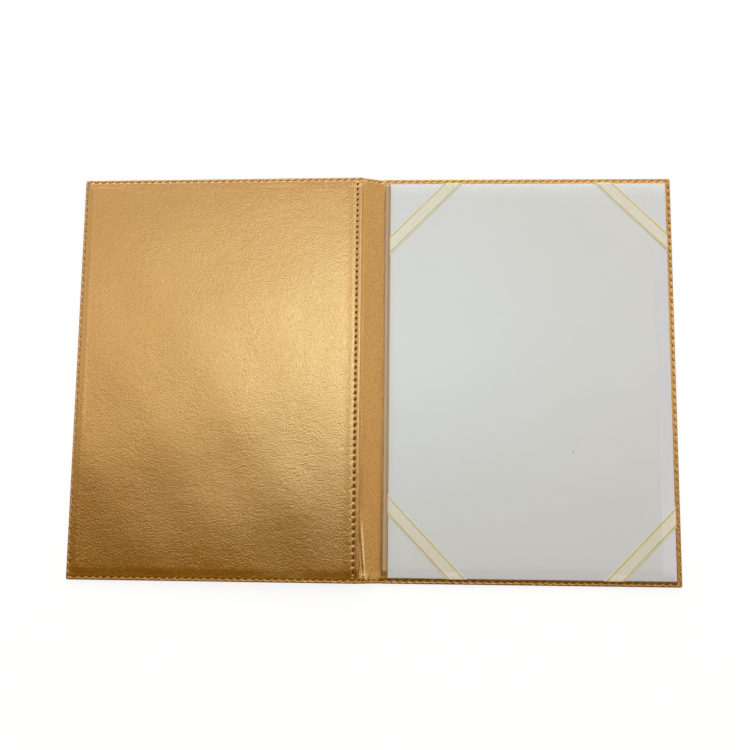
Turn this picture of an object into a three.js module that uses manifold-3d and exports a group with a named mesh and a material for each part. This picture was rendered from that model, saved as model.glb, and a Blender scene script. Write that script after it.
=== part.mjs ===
// Open A4 certificate holder of gold leatherette. It lies open on its outer face.
// Millimetres. X runs across the open holder, Y up the page, Z up out of the inner faces.
// The origin is the middle of the holder, on the surface that it lies on.
// Each of the three bodies is drawn flat, and the spine and the left cover are then tilted.

import * as THREE from "three";
import { mergeVertices } from "three/addons/utils/BufferGeometryUtils.js";
import Module from "manifold-3d";

const wasm = await Module();
wasm.setup();

// Overall sizes
const HOLDER_HEIGHT = 310;
const COVER_WIDTH = 220;
const SPINE_STRIP_WIDTH = 18;
const CORNER_RADIUS = 1.5;
const CORNER_STEPS = 4;

// Sheets and boards
const SKIN_THICKNESS = 0.9;
const BOARD_THICKNESS = 2;
const LINING_THICKNESS = 0.8;
const GLUE_LINE = 0.05;

// Fold lines: each lies inside the spine strip, with a narrow slit where the sheet bends
const FOLD_INSET = 1.5;
const FOLD_SLIT = 0.8;

// The stiff spine doesn't open quite flat. It holds up the inner edge of the left cover.
const LEFT_COVER_TILT = THREE.MathUtils.degToRad(1.5);

// Sewn rim round each cover, where skin and lining meet beyond the board
const RIM_WIDTH = 5.5;
const RIM_SLOPE = 1.5;
const BOARD_CLEARANCE = 0.3;

// Pocket of the left cover and its hemmed mouth beside the spine
const POCKET_GAP = 0.3;
const HEM_DEPTH = 7;
const HEM_END_GAP = 0.1;
const HEM_LINE_INSET = 4;
const NEEDLE_HOLE_WIDTH = 1.1;
const NEEDLE_HOLE_LENGTH = 1.6;
const NEEDLE_HOLE_DEPTH = 3.2;
const NEEDLE_HOLE_LEAN = THREE.MathUtils.degToRad(-28);
const NEEDLE_HOLE_SIDES = 6;
const NEEDLE_HOLE_PITCH = 4.95;
const HEM_THREAD_WIDTH = 0.4;
const HEM_THREAD_HEIGHT = 0.3;
const HEM_THREAD_DIP = 0.6;

// White card on the right cover
const CARD_SPINE_INSET = 4.6;
const CARD_EDGE_INSET = 4.3;
const CARD_THICKNESS = 1;

// Ribbons across the corners of the card
const RIBBON_WIDTH = 10;
const RIBBON_THICKNESS = 0.25;
const RIBBON_CLEARANCE = 0.1;
const RIBBON_TAIL = 8;
const RIBBON_CROSSING = 48;

// Clear film that is sewn down beside the spine and lies over the card
const FILM_THICKNESS = 0.2;
const FILM_OUTER_INSET = 9.9;
const FILM_TOP_INSET = 0.9;
const FILM_BOTTOM_INSET = 4.9;
const FILM_EDGE_INSET = 0.3;
const FILM_TAB_WIDTH = 1.8;
const FILM_CLEARANCE = 0.15;
const FILM_SEAM_INSET = 1.1;
const FILM_SEAM_PITCH = 3;
const FILM_SEAM_SLANT = 0.3;
const FILM_SEAM_END = 3;

// Thick gold thread of the rim seam, sewn in slanted stitches
const STITCH_PITCH = 5;
const STITCH_REACH = 0.7;
const STITCH_SLANT = 1.1;
const THREAD_WIDTH = 0.9;
const THREAD_HEIGHT = 0.5;
const THREAD_CROWN = 0.6;
const FINE_THREAD_WIDTH = 0.5;
const FINE_THREAD_HEIGHT = 0.3;
const RIM_SEAM_INSET = 2.3;
const CORNER_STITCH_GAP = 1.4;

// Heights of the layers above the surface
const SKIN_TOP = SKIN_THICKNESS;
const RIM_BOTTOM = SKIN_TOP + GLUE_LINE;
const RIM_TOP = RIM_BOTTOM + LINING_THICKNESS;
const BOARD_BOTTOM = SKIN_TOP + GLUE_LINE;
const BOARD_TOP = BOARD_BOTTOM + BOARD_THICKNESS;
const RIGHT_LINING_TOP = BOARD_TOP + GLUE_LINE + LINING_THICKNESS;
const HEM_BOTTOM = BOARD_TOP + POCKET_GAP;
const POCKET_UNDERSIDE = HEM_BOTTOM + LINING_THICKNESS;
const POCKET_TOP = POCKET_UNDERSIDE + LINING_THICKNESS;
const CARD_BOTTOM = RIGHT_LINING_TOP + GLUE_LINE + RIBBON_THICKNESS + RIBBON_CLEARANCE;
const CARD_TOP = CARD_BOTTOM + CARD_THICKNESS;
const RIBBON_TOP = CARD_TOP + RIBBON_CLEARANCE + RIBBON_THICKNESS;
const FILM_BOTTOM = RIBBON_TOP + RIBBON_CLEARANCE;

// Places across the open holder
const HALF_HEIGHT = HOLDER_HEIGHT / 2;
const STRIP_EDGE = SPINE_STRIP_WIDTH / 2;
const OUTER_EDGE = STRIP_EDGE + COVER_WIDTH;
const FOLD_LINE = STRIP_EDGE - FOLD_INSET;
const RAISED_INSET = RIM_WIDTH + RIM_SLOPE;
const BOARD_INSET = RAISED_INSET + LINING_THICKNESS + BOARD_CLEARANCE;
const FOLD_SPAN = 2 * FOLD_LINE;
const FOLD_LIFT =
  (COVER_WIDTH + FOLD_INSET) * Math.sin(LEFT_COVER_TILT) + SKIN_TOP * (Math.cos(LEFT_COVER_TILT) - 1);
const SPINE_TILT = Math.asin(FOLD_LIFT / FOLD_SPAN);
const FILM_SEAM_X = STRIP_EDGE + FILM_SEAM_INSET;
const HEM_LINE_X = -STRIP_EDGE - HEM_LINE_INSET;

const CARD = {
  x0: STRIP_EDGE + CARD_SPINE_INSET,
  x1: OUTER_EDGE - CARD_EDGE_INSET,
  y0: -HALF_HEIGHT + CARD_EDGE_INSET,
  y1: HALF_HEIGHT - CARD_EDGE_INSET,
};

// Where the middle of each ribbon crosses the card's level and upright edges, as shares of the
// usual crossing. They were wound by hand, so each lies a little differently.
const CORNER_RIBBONS = [
  { name: "ribbon_top_left", right: false, top: true, levelShare: 1, uprightShare: 1.01 },
  { name: "ribbon_top_right", right: true, top: true, levelShare: 0.97, uprightShare: 0.96 },
  { name: "ribbon_bottom_right", right: true, top: false, levelShare: 0.93, uprightShare: 0.96 },
  { name: "ribbon_bottom_left", right: false, top: false, levelShare: 1.05, uprightShare: 1.11 },
];

const MATERIALS = {
  skin: new THREE.MeshStandardMaterial({ color: 0xb98d4a, roughness: 0.5, metalness: 0.45 }),
  lining: new THREE.MeshStandardMaterial({ color: 0xc79f62, roughness: 0.45, metalness: 0.5 }),
  board: new THREE.MeshStandardMaterial({ color: 0x8f8a80, roughness: 0.95, metalness: 0 }),
  card: new THREE.MeshStandardMaterial({ color: 0xe9e9e4, roughness: 0.6, metalness: 0 }),
  ribbon: new THREE.MeshStandardMaterial({ color: 0xe8e6c8, roughness: 0.35, metalness: 0.1 }),
  film: new THREE.MeshStandardMaterial({
    color: 0xf2f4f2,
    roughness: 0.1,
    metalness: 0,
    transparent: true,
    opacity: 0.2,
  }),
  thread: new THREE.MeshStandardMaterial({ color: 0xd9b062, roughness: 0.4, metalness: 0.4 }),
  fineThread: new THREE.MeshStandardMaterial({ color: 0x7a3a28, roughness: 0.6, metalness: 0 }),
};

// Solids for cutting and joining

function toSolid(geometry) {
  const bare = geometry.clone();
  bare.deleteAttribute("normal");
  bare.deleteAttribute("uv");
  const merged = mergeVertices(bare);
  const mesh = new wasm.Mesh({
    numProp: 3,
    vertProperties: new Float32Array(merged.attributes.position.array),
    triVerts: new Uint32Array(merged.index.array),
  });
  return new wasm.Manifold(mesh);
}

function toGeometry(solid) {
  const mesh = solid.getMesh();
  const geometry = new THREE.BufferGeometry();
  geometry.setAttribute("position", new THREE.BufferAttribute(mesh.vertProperties, 3));
  geometry.setIndex(new THREE.BufferAttribute(mesh.triVerts, 1));
  geometry.computeVertexNormals();
  return geometry;
}

// Plain shapes

function block(x0, x1, y0, y1, z0, z1) {
  const geometry = new THREE.BoxGeometry(x1 - x0, y1 - y0, z1 - z0);
  geometry.translate((x0 + x1) / 2, (y0 + y1) / 2, (z0 + z1) / 2);
  return geometry;
}

// A flat sheet of one cover. Its two outer corners are rounded, and its spine side is straight.
function coverSheet(innerX, outerX, z0, z1) {
  const side = Math.sign(outerX);
  const turn = side * CORNER_RADIUS;
  const shape = new THREE.Shape();
  shape.moveTo(innerX, -HALF_HEIGHT);
  shape.lineTo(outerX - turn, -HALF_HEIGHT);
  shape.quadraticCurveTo(outerX, -HALF_HEIGHT, outerX, -HALF_HEIGHT + CORNER_RADIUS);
  shape.lineTo(outerX, HALF_HEIGHT - CORNER_RADIUS);
  shape.quadraticCurveTo(outerX, HALF_HEIGHT, outerX - turn, HALF_HEIGHT);
  shape.lineTo(innerX, HALF_HEIGHT);
  const geometry = new THREE.ExtrudeGeometry(shape, {
    depth: z1 - z0,
    bevelEnabled: false,
    curveSegments: CORNER_STEPS,
  });
  geometry.translate(0, 0, z0);
  return geometry;
}

// A block with sloping sides, from a lower rectangle to an upper one
function taperedBlock(low, high, z0, z1) {
  const corners = [low, high].flatMap((rectangle, level) => {
    const z = level === 0 ? z0 : z1;
    return [
      [rectangle.x0, rectangle.y0, z],
      [rectangle.x1, rectangle.y0, z],
      [rectangle.x1, rectangle.y1, z],
      [rectangle.x0, rectangle.y1, z],
    ];
  });
  const sides = [0, 1, 2, 3].flatMap((i) => {
    const next = (i + 1) % 4;
    return [i, next, next + 4, i, next + 4, i + 4];
  });
  const ends = [0, 2, 1, 0, 3, 2, 4, 5, 6, 4, 6, 7];
  const geometry = new THREE.BufferGeometry();
  geometry.setAttribute("position", new THREE.Float32BufferAttribute(corners.flat(), 3));
  geometry.setIndex([...sides, ...ends]);
  return geometry;
}

// A thin sheet bent along a line of points in X and Z, and as long as it runs in Y
function bentSheet(points, thickness, y0, y1) {
  const upper = points.map(([x, z], i) => {
    const before = points[Math.max(i - 1, 0)];
    const after = points[Math.min(i + 1, points.length - 1)];
    const along = new THREE.Vector2(after[0] - before[0], after[1] - before[1]).normalize();
    return new THREE.Vector2(x - along.y * thickness, z + along.x * thickness);
  });
  const lower = points.map(([x, z]) => new THREE.Vector2(x, z));
  const shape = new THREE.Shape([...lower, ...upper.reverse()]);
  const geometry = new THREE.ExtrudeGeometry(shape, { depth: y1 - y0, bevelEnabled: false });
  geometry.rotateX(Math.PI / 2);
  geometry.translate(0, y1, 0);
  return geometry;
}

// Sewing threads. A thread is one strand, made of four-sided rings joined in a row.

function strand(rings) {
  const positions = rings.flatMap(({ x, y, side, width, bottom, top }) => {
    const reach = side.clone().multiplyScalar(width / 2);
    const crown = reach.clone().multiplyScalar(THREAD_CROWN);
    return [
      x - reach.x, y - reach.y, bottom,
      x + reach.x, y + reach.y, bottom,
      x + crown.x, y + crown.y, top,
      x - crown.x, y - crown.y, top,
    ];
  });
  const faces = [0, 3, 2, 0, 2, 1];
  for (let i = 0; i < rings.length - 1; i += 1) {
    for (let edge = 0; edge < 4; edge += 1) {
      const a = i * 4 + edge;
      const b = i * 4 + ((edge + 1) % 4);
      faces.push(a, b, b + 4, a, b + 4, a + 4);
    }
  }
  const last = (rings.length - 1) * 4;
  faces.push(last, last + 1, last + 2, last, last + 2, last + 3);
  const geometry = new THREE.BufferGeometry();
  geometry.setAttribute("position", new THREE.Float32BufferAttribute(positions, 3));
  geometry.setIndex(faces);
  geometry.computeVertexNormals();
  return geometry;
}

// Slanted stitches along straight legs from corner to corner, with one ring at each turn
function seam(corners, { pitch, slant, width, height, bottom }) {
  const legs = corners.slice(1).map((end, i) => {
    const start = corners[i];
    const along = end.clone().sub(start);
    const length = along.length();
    along.normalize();
    return { start, along, length, side: new THREE.Vector2(-along.y, along.x) };
  });
  const rings = [];
  legs.forEach((leg, index) => {
    const count = Math.max(1, Math.round(leg.length / pitch));
    const step = leg.length / count;
    const ring = (distance, offset) => ({
      x: leg.start.x + leg.along.x * distance + leg.side.x * offset,
      y: leg.start.y + leg.along.y * distance + leg.side.y * offset,
      side: leg.side,
      width,
      bottom,
      top: bottom + height,
    });
    for (let i = 0; i < count; i += 1) {
      const afterTurn = i === 0 && index > 0;
      const beforeTurn = i === count - 1 && index < legs.length - 1;
      const rest = (step * (1 - STITCH_REACH)) / 2;
      const from = i * step + (afterTurn ? CORNER_STITCH_GAP : rest);
      const to = (i + 1) * step - (beforeTurn ? CORNER_STITCH_GAP : rest);
      rings.push(ring(from, -slant / 2), ring(to, slant / 2));
    }
    if (index < legs.length - 1) {
      const mitre = leg.side.clone().add(legs[index + 1].side).normalize();
      const cut = mitre.dot(leg.side);
      rings.push({ ...ring(leg.length, 0), side: mitre, width: width / cut });
    }
  });
  return strand(rings);
}

const RIM_THREAD = {
  pitch: STITCH_PITCH,
  slant: STITCH_SLANT,
  width: THREAD_WIDTH,
  height: THREAD_HEIGHT,
  bottom: RIM_TOP + GLUE_LINE,
};

// The seam that runs round the three free sides of a cover
function rimSeam(side) {
  const inner = side * STRIP_EDGE;
  const outer = side * (OUTER_EDGE - RIM_SEAM_INSET);
  const edge = HALF_HEIGHT - RIM_SEAM_INSET;
  const corners = [
    new THREE.Vector2(inner, edge),
    new THREE.Vector2(outer, edge),
    new THREE.Vector2(outer, -edge),
    new THREE.Vector2(inner, -edge),
  ];
  return seam(corners, RIM_THREAD);
}

function spineSeam(y) {
  const end = FOLD_LINE - FOLD_SLIT / 2;
  return seam([new THREE.Vector2(-end, y), new THREE.Vector2(end, y)], RIM_THREAD);
}

// Boards

function board(innerX, outerX) {
  const [x0, x1] = [innerX, outerX].sort((a, b) => a - b);
  const reach = HALF_HEIGHT - BOARD_INSET;
  return block(x0, x1, -reach, reach, BOARD_BOTTOM, BOARD_TOP);
}

// Linings. A lining lies flat on the rim and steps up over the board.

function insetRectangle(innerX, side, inset) {
  const outerX = side * (OUTER_EDGE - inset);
  return {
    x0: Math.min(innerX, outerX),
    x1: Math.max(innerX, outerX),
    y0: -HALF_HEIGHT + inset,
    y1: HALF_HEIGHT - inset,
  };
}

function raisedSheet(side, innerX, hollowX, top) {
  const rim = toSolid(coverSheet(innerX, side * OUTER_EDGE, RIM_BOTTOM, RIM_TOP));
  const low = insetRectangle(innerX, side, RIM_WIDTH);
  const high = insetRectangle(innerX, side, RAISED_INSET);
  const raised = toSolid(taperedBlock(low, high, RIM_BOTTOM, top));
  const hollowLow = insetRectangle(hollowX, side, RIM_WIDTH + LINING_THICKNESS);
  const hollowHigh = insetRectangle(hollowX, side, RAISED_INSET + LINING_THICKNESS);
  const hollow = toSolid(taperedBlock(hollowLow, hollowHigh, RIM_BOTTOM, top - LINING_THICKNESS));
  const below = block(hollowLow.x0, hollowLow.x1, hollowLow.y0, hollowLow.y1, 0, RIM_BOTTOM);
  return rim.add(raised).subtract(hollow.add(toSolid(below)));
}

function rightLining() {
  const hollowX = STRIP_EDGE + LINING_THICKNESS;
  return toGeometry(raisedSheet(1, STRIP_EDGE, hollowX, RIGHT_LINING_TOP));
}

function needleHolePlaces() {
  const run = HOLDER_HEIGHT - 2 * (RAISED_INSET + NEEDLE_HOLE_LENGTH / 2);
  const gaps = Math.floor(run / NEEDLE_HOLE_PITCH);
  return Array.from({ length: gaps + 1 }, (_, i) => (i - gaps / 2) * NEEDLE_HOLE_PITCH);
}

function needleHole(y) {
  const radius = 1 / 2;
  const hole = new THREE.CylinderGeometry(radius, radius, NEEDLE_HOLE_DEPTH, NEEDLE_HOLE_SIDES);
  hole.rotateX(Math.PI / 2);
  hole.scale(NEEDLE_HOLE_WIDTH, NEEDLE_HOLE_LENGTH, 1);
  hole.rotateZ(NEEDLE_HOLE_LEAN);
  hole.translate(HEM_LINE_X, y, POCKET_UNDERSIDE);
  return toSolid(hole);
}

// The pocket's mouth is folded under in a hem, and the fold is round
function pocketHem(mouth) {
  const root = mouth - HEM_DEPTH;
  const nose = mouth - LINING_THICKNESS;
  const reach = HALF_HEIGHT - RAISED_INSET - HEM_END_GAP;
  const profile = new THREE.Shape();
  profile.moveTo(root, HEM_BOTTOM);
  profile.lineTo(nose, HEM_BOTTOM);
  profile.quadraticCurveTo(mouth, HEM_BOTTOM, mouth, POCKET_UNDERSIDE);
  profile.quadraticCurveTo(mouth, POCKET_TOP, nose, POCKET_TOP);
  profile.lineTo(root, POCKET_TOP);
  const hem = new THREE.ExtrudeGeometry(profile, {
    depth: 2 * reach,
    bevelEnabled: false,
    curveSegments: CORNER_STEPS,
  });
  hem.rotateX(Math.PI / 2);
  hem.translate(0, reach, 0);
  return toSolid(hem);
}

function pocketPanel() {
  const mouth = -STRIP_EDGE;
  const nose = mouth - LINING_THICKNESS;
  let panel = raisedSheet(-1, nose, 0, POCKET_TOP).add(pocketHem(mouth));
  for (const y of needleHolePlaces()) {
    panel = panel.subtract(needleHole(y));
  }
  return toGeometry(panel);
}

// The hem's thin thread lies on the panel between the needle holes and dips into each of them
function hemThread() {
  const surface = POCKET_TOP + GLUE_LINE;
  const side = new THREE.Vector2(-1, 0);
  const edge = NEEDLE_HOLE_LENGTH / 4;
  const ring = (y, bottom) => ({
    x: HEM_LINE_X,
    y,
    side,
    width: HEM_THREAD_WIDTH,
    bottom,
    top: bottom + HEM_THREAD_HEIGHT,
  });
  const rings = needleHolePlaces().flatMap((y) => [
    ring(y - edge, surface),
    ring(y, surface - HEM_THREAD_DIP),
    ring(y + edge, surface),
  ]);
  return strand(rings);
}

// Ribbons. Each crosses a corner of the card, turns round both edges and ends underneath.

function diagonalBand(through, direction, z0, z1) {
  const reach = COVER_WIDTH;
  const band = new THREE.BoxGeometry(reach, RIBBON_WIDTH, z1 - z0);
  band.rotateZ(Math.atan2(direction.y, direction.x));
  band.translate(through.x, through.y, (z0 + z1) / 2);
  return toSolid(band);
}

function cardBlock(grow, z0, z1) {
  return toSolid(block(CARD.x0 - grow, CARD.x1 + grow, CARD.y0 - grow, CARD.y1 + grow, z0, z1));
}

function cornerRibbon({ right, top, levelShare, uprightShare }) {
  const alongX = RIBBON_CROSSING * levelShare;
  const alongY = RIBBON_CROSSING * uprightShare;
  const inwardX = right ? -1 : 1;
  const inwardY = top ? -1 : 1;
  const corner = new THREE.Vector2(right ? CARD.x1 : CARD.x0, top ? CARD.y1 : CARD.y0);
  const onLevelEdge = new THREE.Vector2(corner.x + inwardX * alongX, corner.y);
  const onUprightEdge = new THREE.Vector2(corner.x, corner.y + inwardY * alongY);
  const along = onUprightEdge.clone().sub(onLevelEdge);
  const folded = new THREE.Vector2(along.x, -along.y);

  const low = RIGHT_LINING_TOP + GLUE_LINE;
  const wrap = RIBBON_CLEARANCE + RIBBON_THICKNESS;
  const space = cardBlock(RIBBON_CLEARANCE, low, CARD_TOP + RIBBON_CLEARANCE);
  const band = diagonalBand(onLevelEdge, along, low, RIBBON_TOP);
  const over = band.intersect(cardBlock(wrap, low, RIBBON_TOP)).subtract(space);

  const tail = (edgePoint, tailX, tailY) => {
    const strip = diagonalBand(edgePoint, folded, low, low + RIBBON_THICKNESS);
    const [x0, x1] = [edgePoint.x - tailX[0], edgePoint.x + tailX[1]];
    const [y0, y1] = [edgePoint.y - tailY[0], edgePoint.y + tailY[1]];
    return strip.intersect(toSolid(block(x0, x1, y0, y1, low, low + RIBBON_THICKNESS)));
  };
  const wide = alongX + RIBBON_TAIL;
  const levelTail = tail(
    onLevelEdge,
    [wide, wide],
    top ? [RIBBON_TAIL, wrap] : [wrap, RIBBON_TAIL],
  );
  const uprightTail = tail(
    onUprightEdge,
    right ? [RIBBON_TAIL, wrap] : [wrap, RIBBON_TAIL],
    [wide, wide],
  );
  return toGeometry(over.add(levelTail).add(uprightTail));
}

// Film. A narrow tab is sewn to the lining, and the film then rises over the card's edge.

function film() {
  const tabZ = RIGHT_LINING_TOP + GLUE_LINE;
  const start = STRIP_EDGE + FILM_EDGE_INSET;
  const tabEnd = start + FILM_TAB_WIDTH;
  const riseEnd = CARD.x0 - RIBBON_CLEARANCE - RIBBON_THICKNESS - FILM_CLEARANCE;
  const points = [
    [start, tabZ],
    [tabEnd, tabZ],
    [riseEnd, FILM_BOTTOM],
    [CARD.x1 - FILM_OUTER_INSET, FILM_BOTTOM],
  ];
  return bentSheet(points, FILM_THICKNESS, CARD.y0 + FILM_BOTTOM_INSET, CARD.y1 - FILM_TOP_INSET);
}

function filmSeam() {
  const low = CARD.y0 + FILM_BOTTOM_INSET + FILM_SEAM_END;
  const high = CARD.y1 - FILM_TOP_INSET - FILM_SEAM_END;
  return seam([new THREE.Vector2(FILM_SEAM_X, high), new THREE.Vector2(FILM_SEAM_X, low)], {
    pitch: FILM_SEAM_PITCH,
    slant: FILM_SEAM_SLANT,
    width: FINE_THREAD_WIDTH,
    height: FINE_THREAD_HEIGHT,
    bottom: RIGHT_LINING_TOP + GLUE_LINE + FILM_THICKNESS + GLUE_LINE,
  });
}

// Assembly

function piece(name, geometry, material) {
  const mesh = new THREE.Mesh(geometry, material);
  mesh.name = name;
  return mesh;
}

// Turns a body about the line where its own fold lies, and brings that line to a new place
function tilt(body, foldX, angle, newX, newZ) {
  const fold = new THREE.Vector3(foldX, 0, SKIN_TOP);
  body.rotation.y = angle;
  fold.applyEuler(body.rotation);
  body.position.set(newX - fold.x, 0, newZ - fold.z);
}

function rightCover() {
  const cover = new THREE.Group();
  const foldX = FOLD_LINE + FOLD_SLIT / 2;
  const boardX = STRIP_EDGE + LINING_THICKNESS + BOARD_CLEARANCE;
  cover.add(
    piece("right_outer_skin", coverSheet(foldX, OUTER_EDGE, 0, SKIN_TOP), MATERIALS.skin),
    piece("right_board", board(boardX, OUTER_EDGE - BOARD_INSET), MATERIALS.board),
    piece("right_lining", rightLining(), MATERIALS.lining),
    piece(
      "certificate_card",
      block(CARD.x0, CARD.x1, CARD.y0, CARD.y1, CARD_BOTTOM, CARD_TOP),
      MATERIALS.card,
    ),
    piece("protective_film", film(), MATERIALS.film),
    piece("film_seam", filmSeam(), MATERIALS.fineThread),
    piece("right_rim_seam", rimSeam(1), MATERIALS.thread),
  );
  for (const ribbon of CORNER_RIBBONS) {
    cover.add(piece(ribbon.name, cornerRibbon(ribbon), MATERIALS.ribbon));
  }
  return cover;
}

function spine() {
  const strip = new THREE.Group();
  const end = FOLD_LINE - FOLD_SLIT / 2;
  const seamY = HALF_HEIGHT - RIM_SEAM_INSET;
  const outer = block(-end, end, -HALF_HEIGHT, HALF_HEIGHT, 0, SKIN_TOP);
  const inner = block(-end, end, -HALF_HEIGHT, HALF_HEIGHT, RIM_BOTTOM, RIM_TOP);
  strip.add(
    piece("spine_outer_skin", outer, MATERIALS.skin),
    piece("spine_lining", inner, MATERIALS.lining),
    piece("spine_top_seam", spineSeam(seamY), MATERIALS.thread),
    piece("spine_bottom_seam", spineSeam(-seamY), MATERIALS.thread),
  );
  tilt(strip, FOLD_LINE, SPINE_TILT, FOLD_LINE, SKIN_TOP);
  return strip;
}

function leftCover() {
  const cover = new THREE.Group();
  const foldX = -FOLD_LINE - FOLD_SLIT / 2;
  const boardX = -STRIP_EDGE - BOARD_CLEARANCE;
  cover.add(
    piece("left_outer_skin", coverSheet(foldX, -OUTER_EDGE, 0, SKIN_TOP), MATERIALS.skin),
    piece("left_board", board(boardX, -OUTER_EDGE + BOARD_INSET), MATERIALS.board),
    piece("left_pocket_panel", pocketPanel(), MATERIALS.lining),
    piece("pocket_hem_seam", hemThread(), MATERIALS.fineThread),
    piece("left_rim_seam", rimSeam(-1), MATERIALS.thread),
  );
  const leftFoldX = FOLD_LINE - FOLD_SPAN * Math.cos(SPINE_TILT);
  tilt(cover, -FOLD_LINE, -LEFT_COVER_TILT, leftFoldX, SKIN_TOP + FOLD_LIFT);
  return cover;
}

const certificateHolder = new THREE.Group();
certificateHolder.add(rightCover(), spine(), leftCover());
const extent = new THREE.Box3().setFromObject(certificateHolder, true);
certificateHolder.position.x = -(extent.min.x + extent.max.x) / 2;

export default certificateHolder;
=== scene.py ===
"""Looks of an open A4 certificate holder: two boards in gold leatherette on a soft spine.

The left cover carries a pocket with a hemmed mouth, and the right cover a white card under four
satin corner ribbons and a clear film. Every piece is drawn flat in millimetres, as its pattern
would lie on the cutting table, and is then set on its body of the frame in metres.
"""

from __future__ import annotations

import logging
import math
from dataclasses import dataclass, field
from enum import Enum
from typing import Callable, Optional, Sequence

import bmesh
import bpy
import numpy as np
from mathutils import Matrix, Vector


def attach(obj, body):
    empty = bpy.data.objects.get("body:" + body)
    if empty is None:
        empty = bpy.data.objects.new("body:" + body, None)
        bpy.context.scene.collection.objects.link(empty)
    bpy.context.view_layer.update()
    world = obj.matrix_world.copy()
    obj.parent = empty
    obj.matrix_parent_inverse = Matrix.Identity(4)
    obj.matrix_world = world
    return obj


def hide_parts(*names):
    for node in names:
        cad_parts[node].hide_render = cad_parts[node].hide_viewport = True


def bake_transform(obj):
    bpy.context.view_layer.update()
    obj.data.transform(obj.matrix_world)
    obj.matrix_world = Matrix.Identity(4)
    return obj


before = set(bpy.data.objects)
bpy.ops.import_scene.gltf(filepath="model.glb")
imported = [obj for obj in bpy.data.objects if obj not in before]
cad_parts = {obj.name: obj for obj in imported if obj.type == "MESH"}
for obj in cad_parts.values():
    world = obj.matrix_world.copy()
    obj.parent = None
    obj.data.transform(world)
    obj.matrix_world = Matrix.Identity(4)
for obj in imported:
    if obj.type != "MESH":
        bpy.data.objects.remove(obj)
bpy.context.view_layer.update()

log = logging.getLogger("certificate_holder")

MM = 0.001
HALF_HEIGHT = 155.0
STRIP_EDGE = 9.0
OUTER_EDGE = 229.0
FOLD_LINE = 7.5
SKIN_TOP = 0.9
RIM_BOTTOM = 0.95
RIM_TOP = 1.75
CORNER_RADIUS = 1.5
RIM_SEAM_INSET = 1.7


class Body(Enum):
    """The frame's three bodies."""

    LEFT = "left_cover"
    SPINE = "spine"
    RIGHT = "right_cover"


class Slot(Enum):
    """The record's material slots."""

    OUTER = "outer_leatherette"
    INNER = "inner_leatherette"
    BOARD = "greyboard"
    CARD = "white_card"
    RIBBON = "satin_ribbon"
    FILM = "clear_film"
    THREAD = "gold_thread"
    FINE_THREAD = "fine_thread"


def smooth(value: np.ndarray, low: float, high: float) -> np.ndarray:
    """Smooth rise from 0 at low to 1 at high."""
    t = np.clip((value - low) / (high - low), 0.0, 1.0)
    return t * t * (3.0 - 2.0 * t)


def bump_curve(value: np.ndarray, centre: float, width: float) -> np.ndarray:
    """Soft bell of height 1 around centre."""
    return np.exp(-(((value - centre) / width) ** 2))


# Where the bodies lie


@dataclass(frozen=True)
class Lie:
    """How one body lies in the open holder: a turn about Y and a shift, in degrees and mm."""

    turn: float
    shift_x: float
    shift_z: float

    def place(self, points: np.ndarray) -> np.ndarray:
        """Points of the flat pattern in mm, set on the body, in mm.

        Args:
            points: array (n, 3) of flat x, y and height.

        Returns:
            Array (n, 3) in the row frame.
        """
        angle = math.radians(self.turn)
        x, y, z = points[:, 0], points[:, 1], points[:, 2]
        return np.stack(
            [
                x * math.cos(angle) + z * math.sin(angle) + self.shift_x,
                y,
                -x * math.sin(angle) + z * math.cos(angle) + self.shift_z,
            ],
            axis=1,
        )


@dataclass(frozen=True)
class HolderLie:
    """How the whole open holder lies, with the soft bends at its two fold lines."""

    left: Lie = Lie(-1.5, 0.5771, 5.9945)
    spine: Lie = Lie(22.7385, -0.3747, 2.9689)
    right: Lie = Lie(0.0, -0.6097, 0.0)
    bend_reach: float = 2.2

    def of(self, body: Body) -> Lie:
        """The lie of one body."""
        return {Body.LEFT: self.left, Body.SPINE: self.spine, Body.RIGHT: self.right}[body]

    def bend(self, points: np.ndarray) -> np.ndarray:
        """Points of a sheet that runs over the fold lines, bent round them.

        Args:
            points: array (n, 3) of flat x, y and height.

        Returns:
            Array (n, 3) in the row frame, in mm.
        """
        placed = self.spine.place(points)
        for line, first, second in (
            (-FOLD_LINE, self.left, self.spine),
            (FOLD_LINE, self.spine, self.right),
        ):
            outside = points[:, 0] < line if line < 0 else points[:, 0] > line
            cover = first if line < 0 else second
            placed[outside] = cover.place(points)[outside]
            near = np.abs(points[:, 0] - line) < self.bend_reach
            if not near.any():
                continue
            ends = np.array([[line - self.bend_reach, 0.0, SKIN_TOP], [line, 0.0, SKIN_TOP]])
            start, corner = first.place(ends)
            far = np.array([[line + self.bend_reach, 0.0, SKIN_TOP]])
            end = second.place(far)[0]
            t = ((points[near, 0] - line) / self.bend_reach + 1.0) / 2.0
            t = t[:, None]
            middle = (1 - t) ** 2 * start + 2 * t * (1 - t) * corner + t**2 * end
            along = (1 - t) * (corner - start) + t * (end - corner)
            along /= np.linalg.norm(along, axis=1)[:, None]
            up = np.stack([-along[:, 2], np.zeros(len(along)), along[:, 0]], axis=1)
            bent = middle + up * (points[near, 2] - SKIN_TOP)[:, None]
            bent[:, 1] = points[near, 1]
            placed[near] = bent
        return placed

    def point(self, body: Body, x: float, y: float, z: float) -> Vector:
        """One flat point of a body in the row frame, in metres."""
        return Vector((self.of(body).place(np.array([[x, y, z]]))[0] * MM).tolist())


LIE = HolderLie()


# Building meshes


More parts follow.
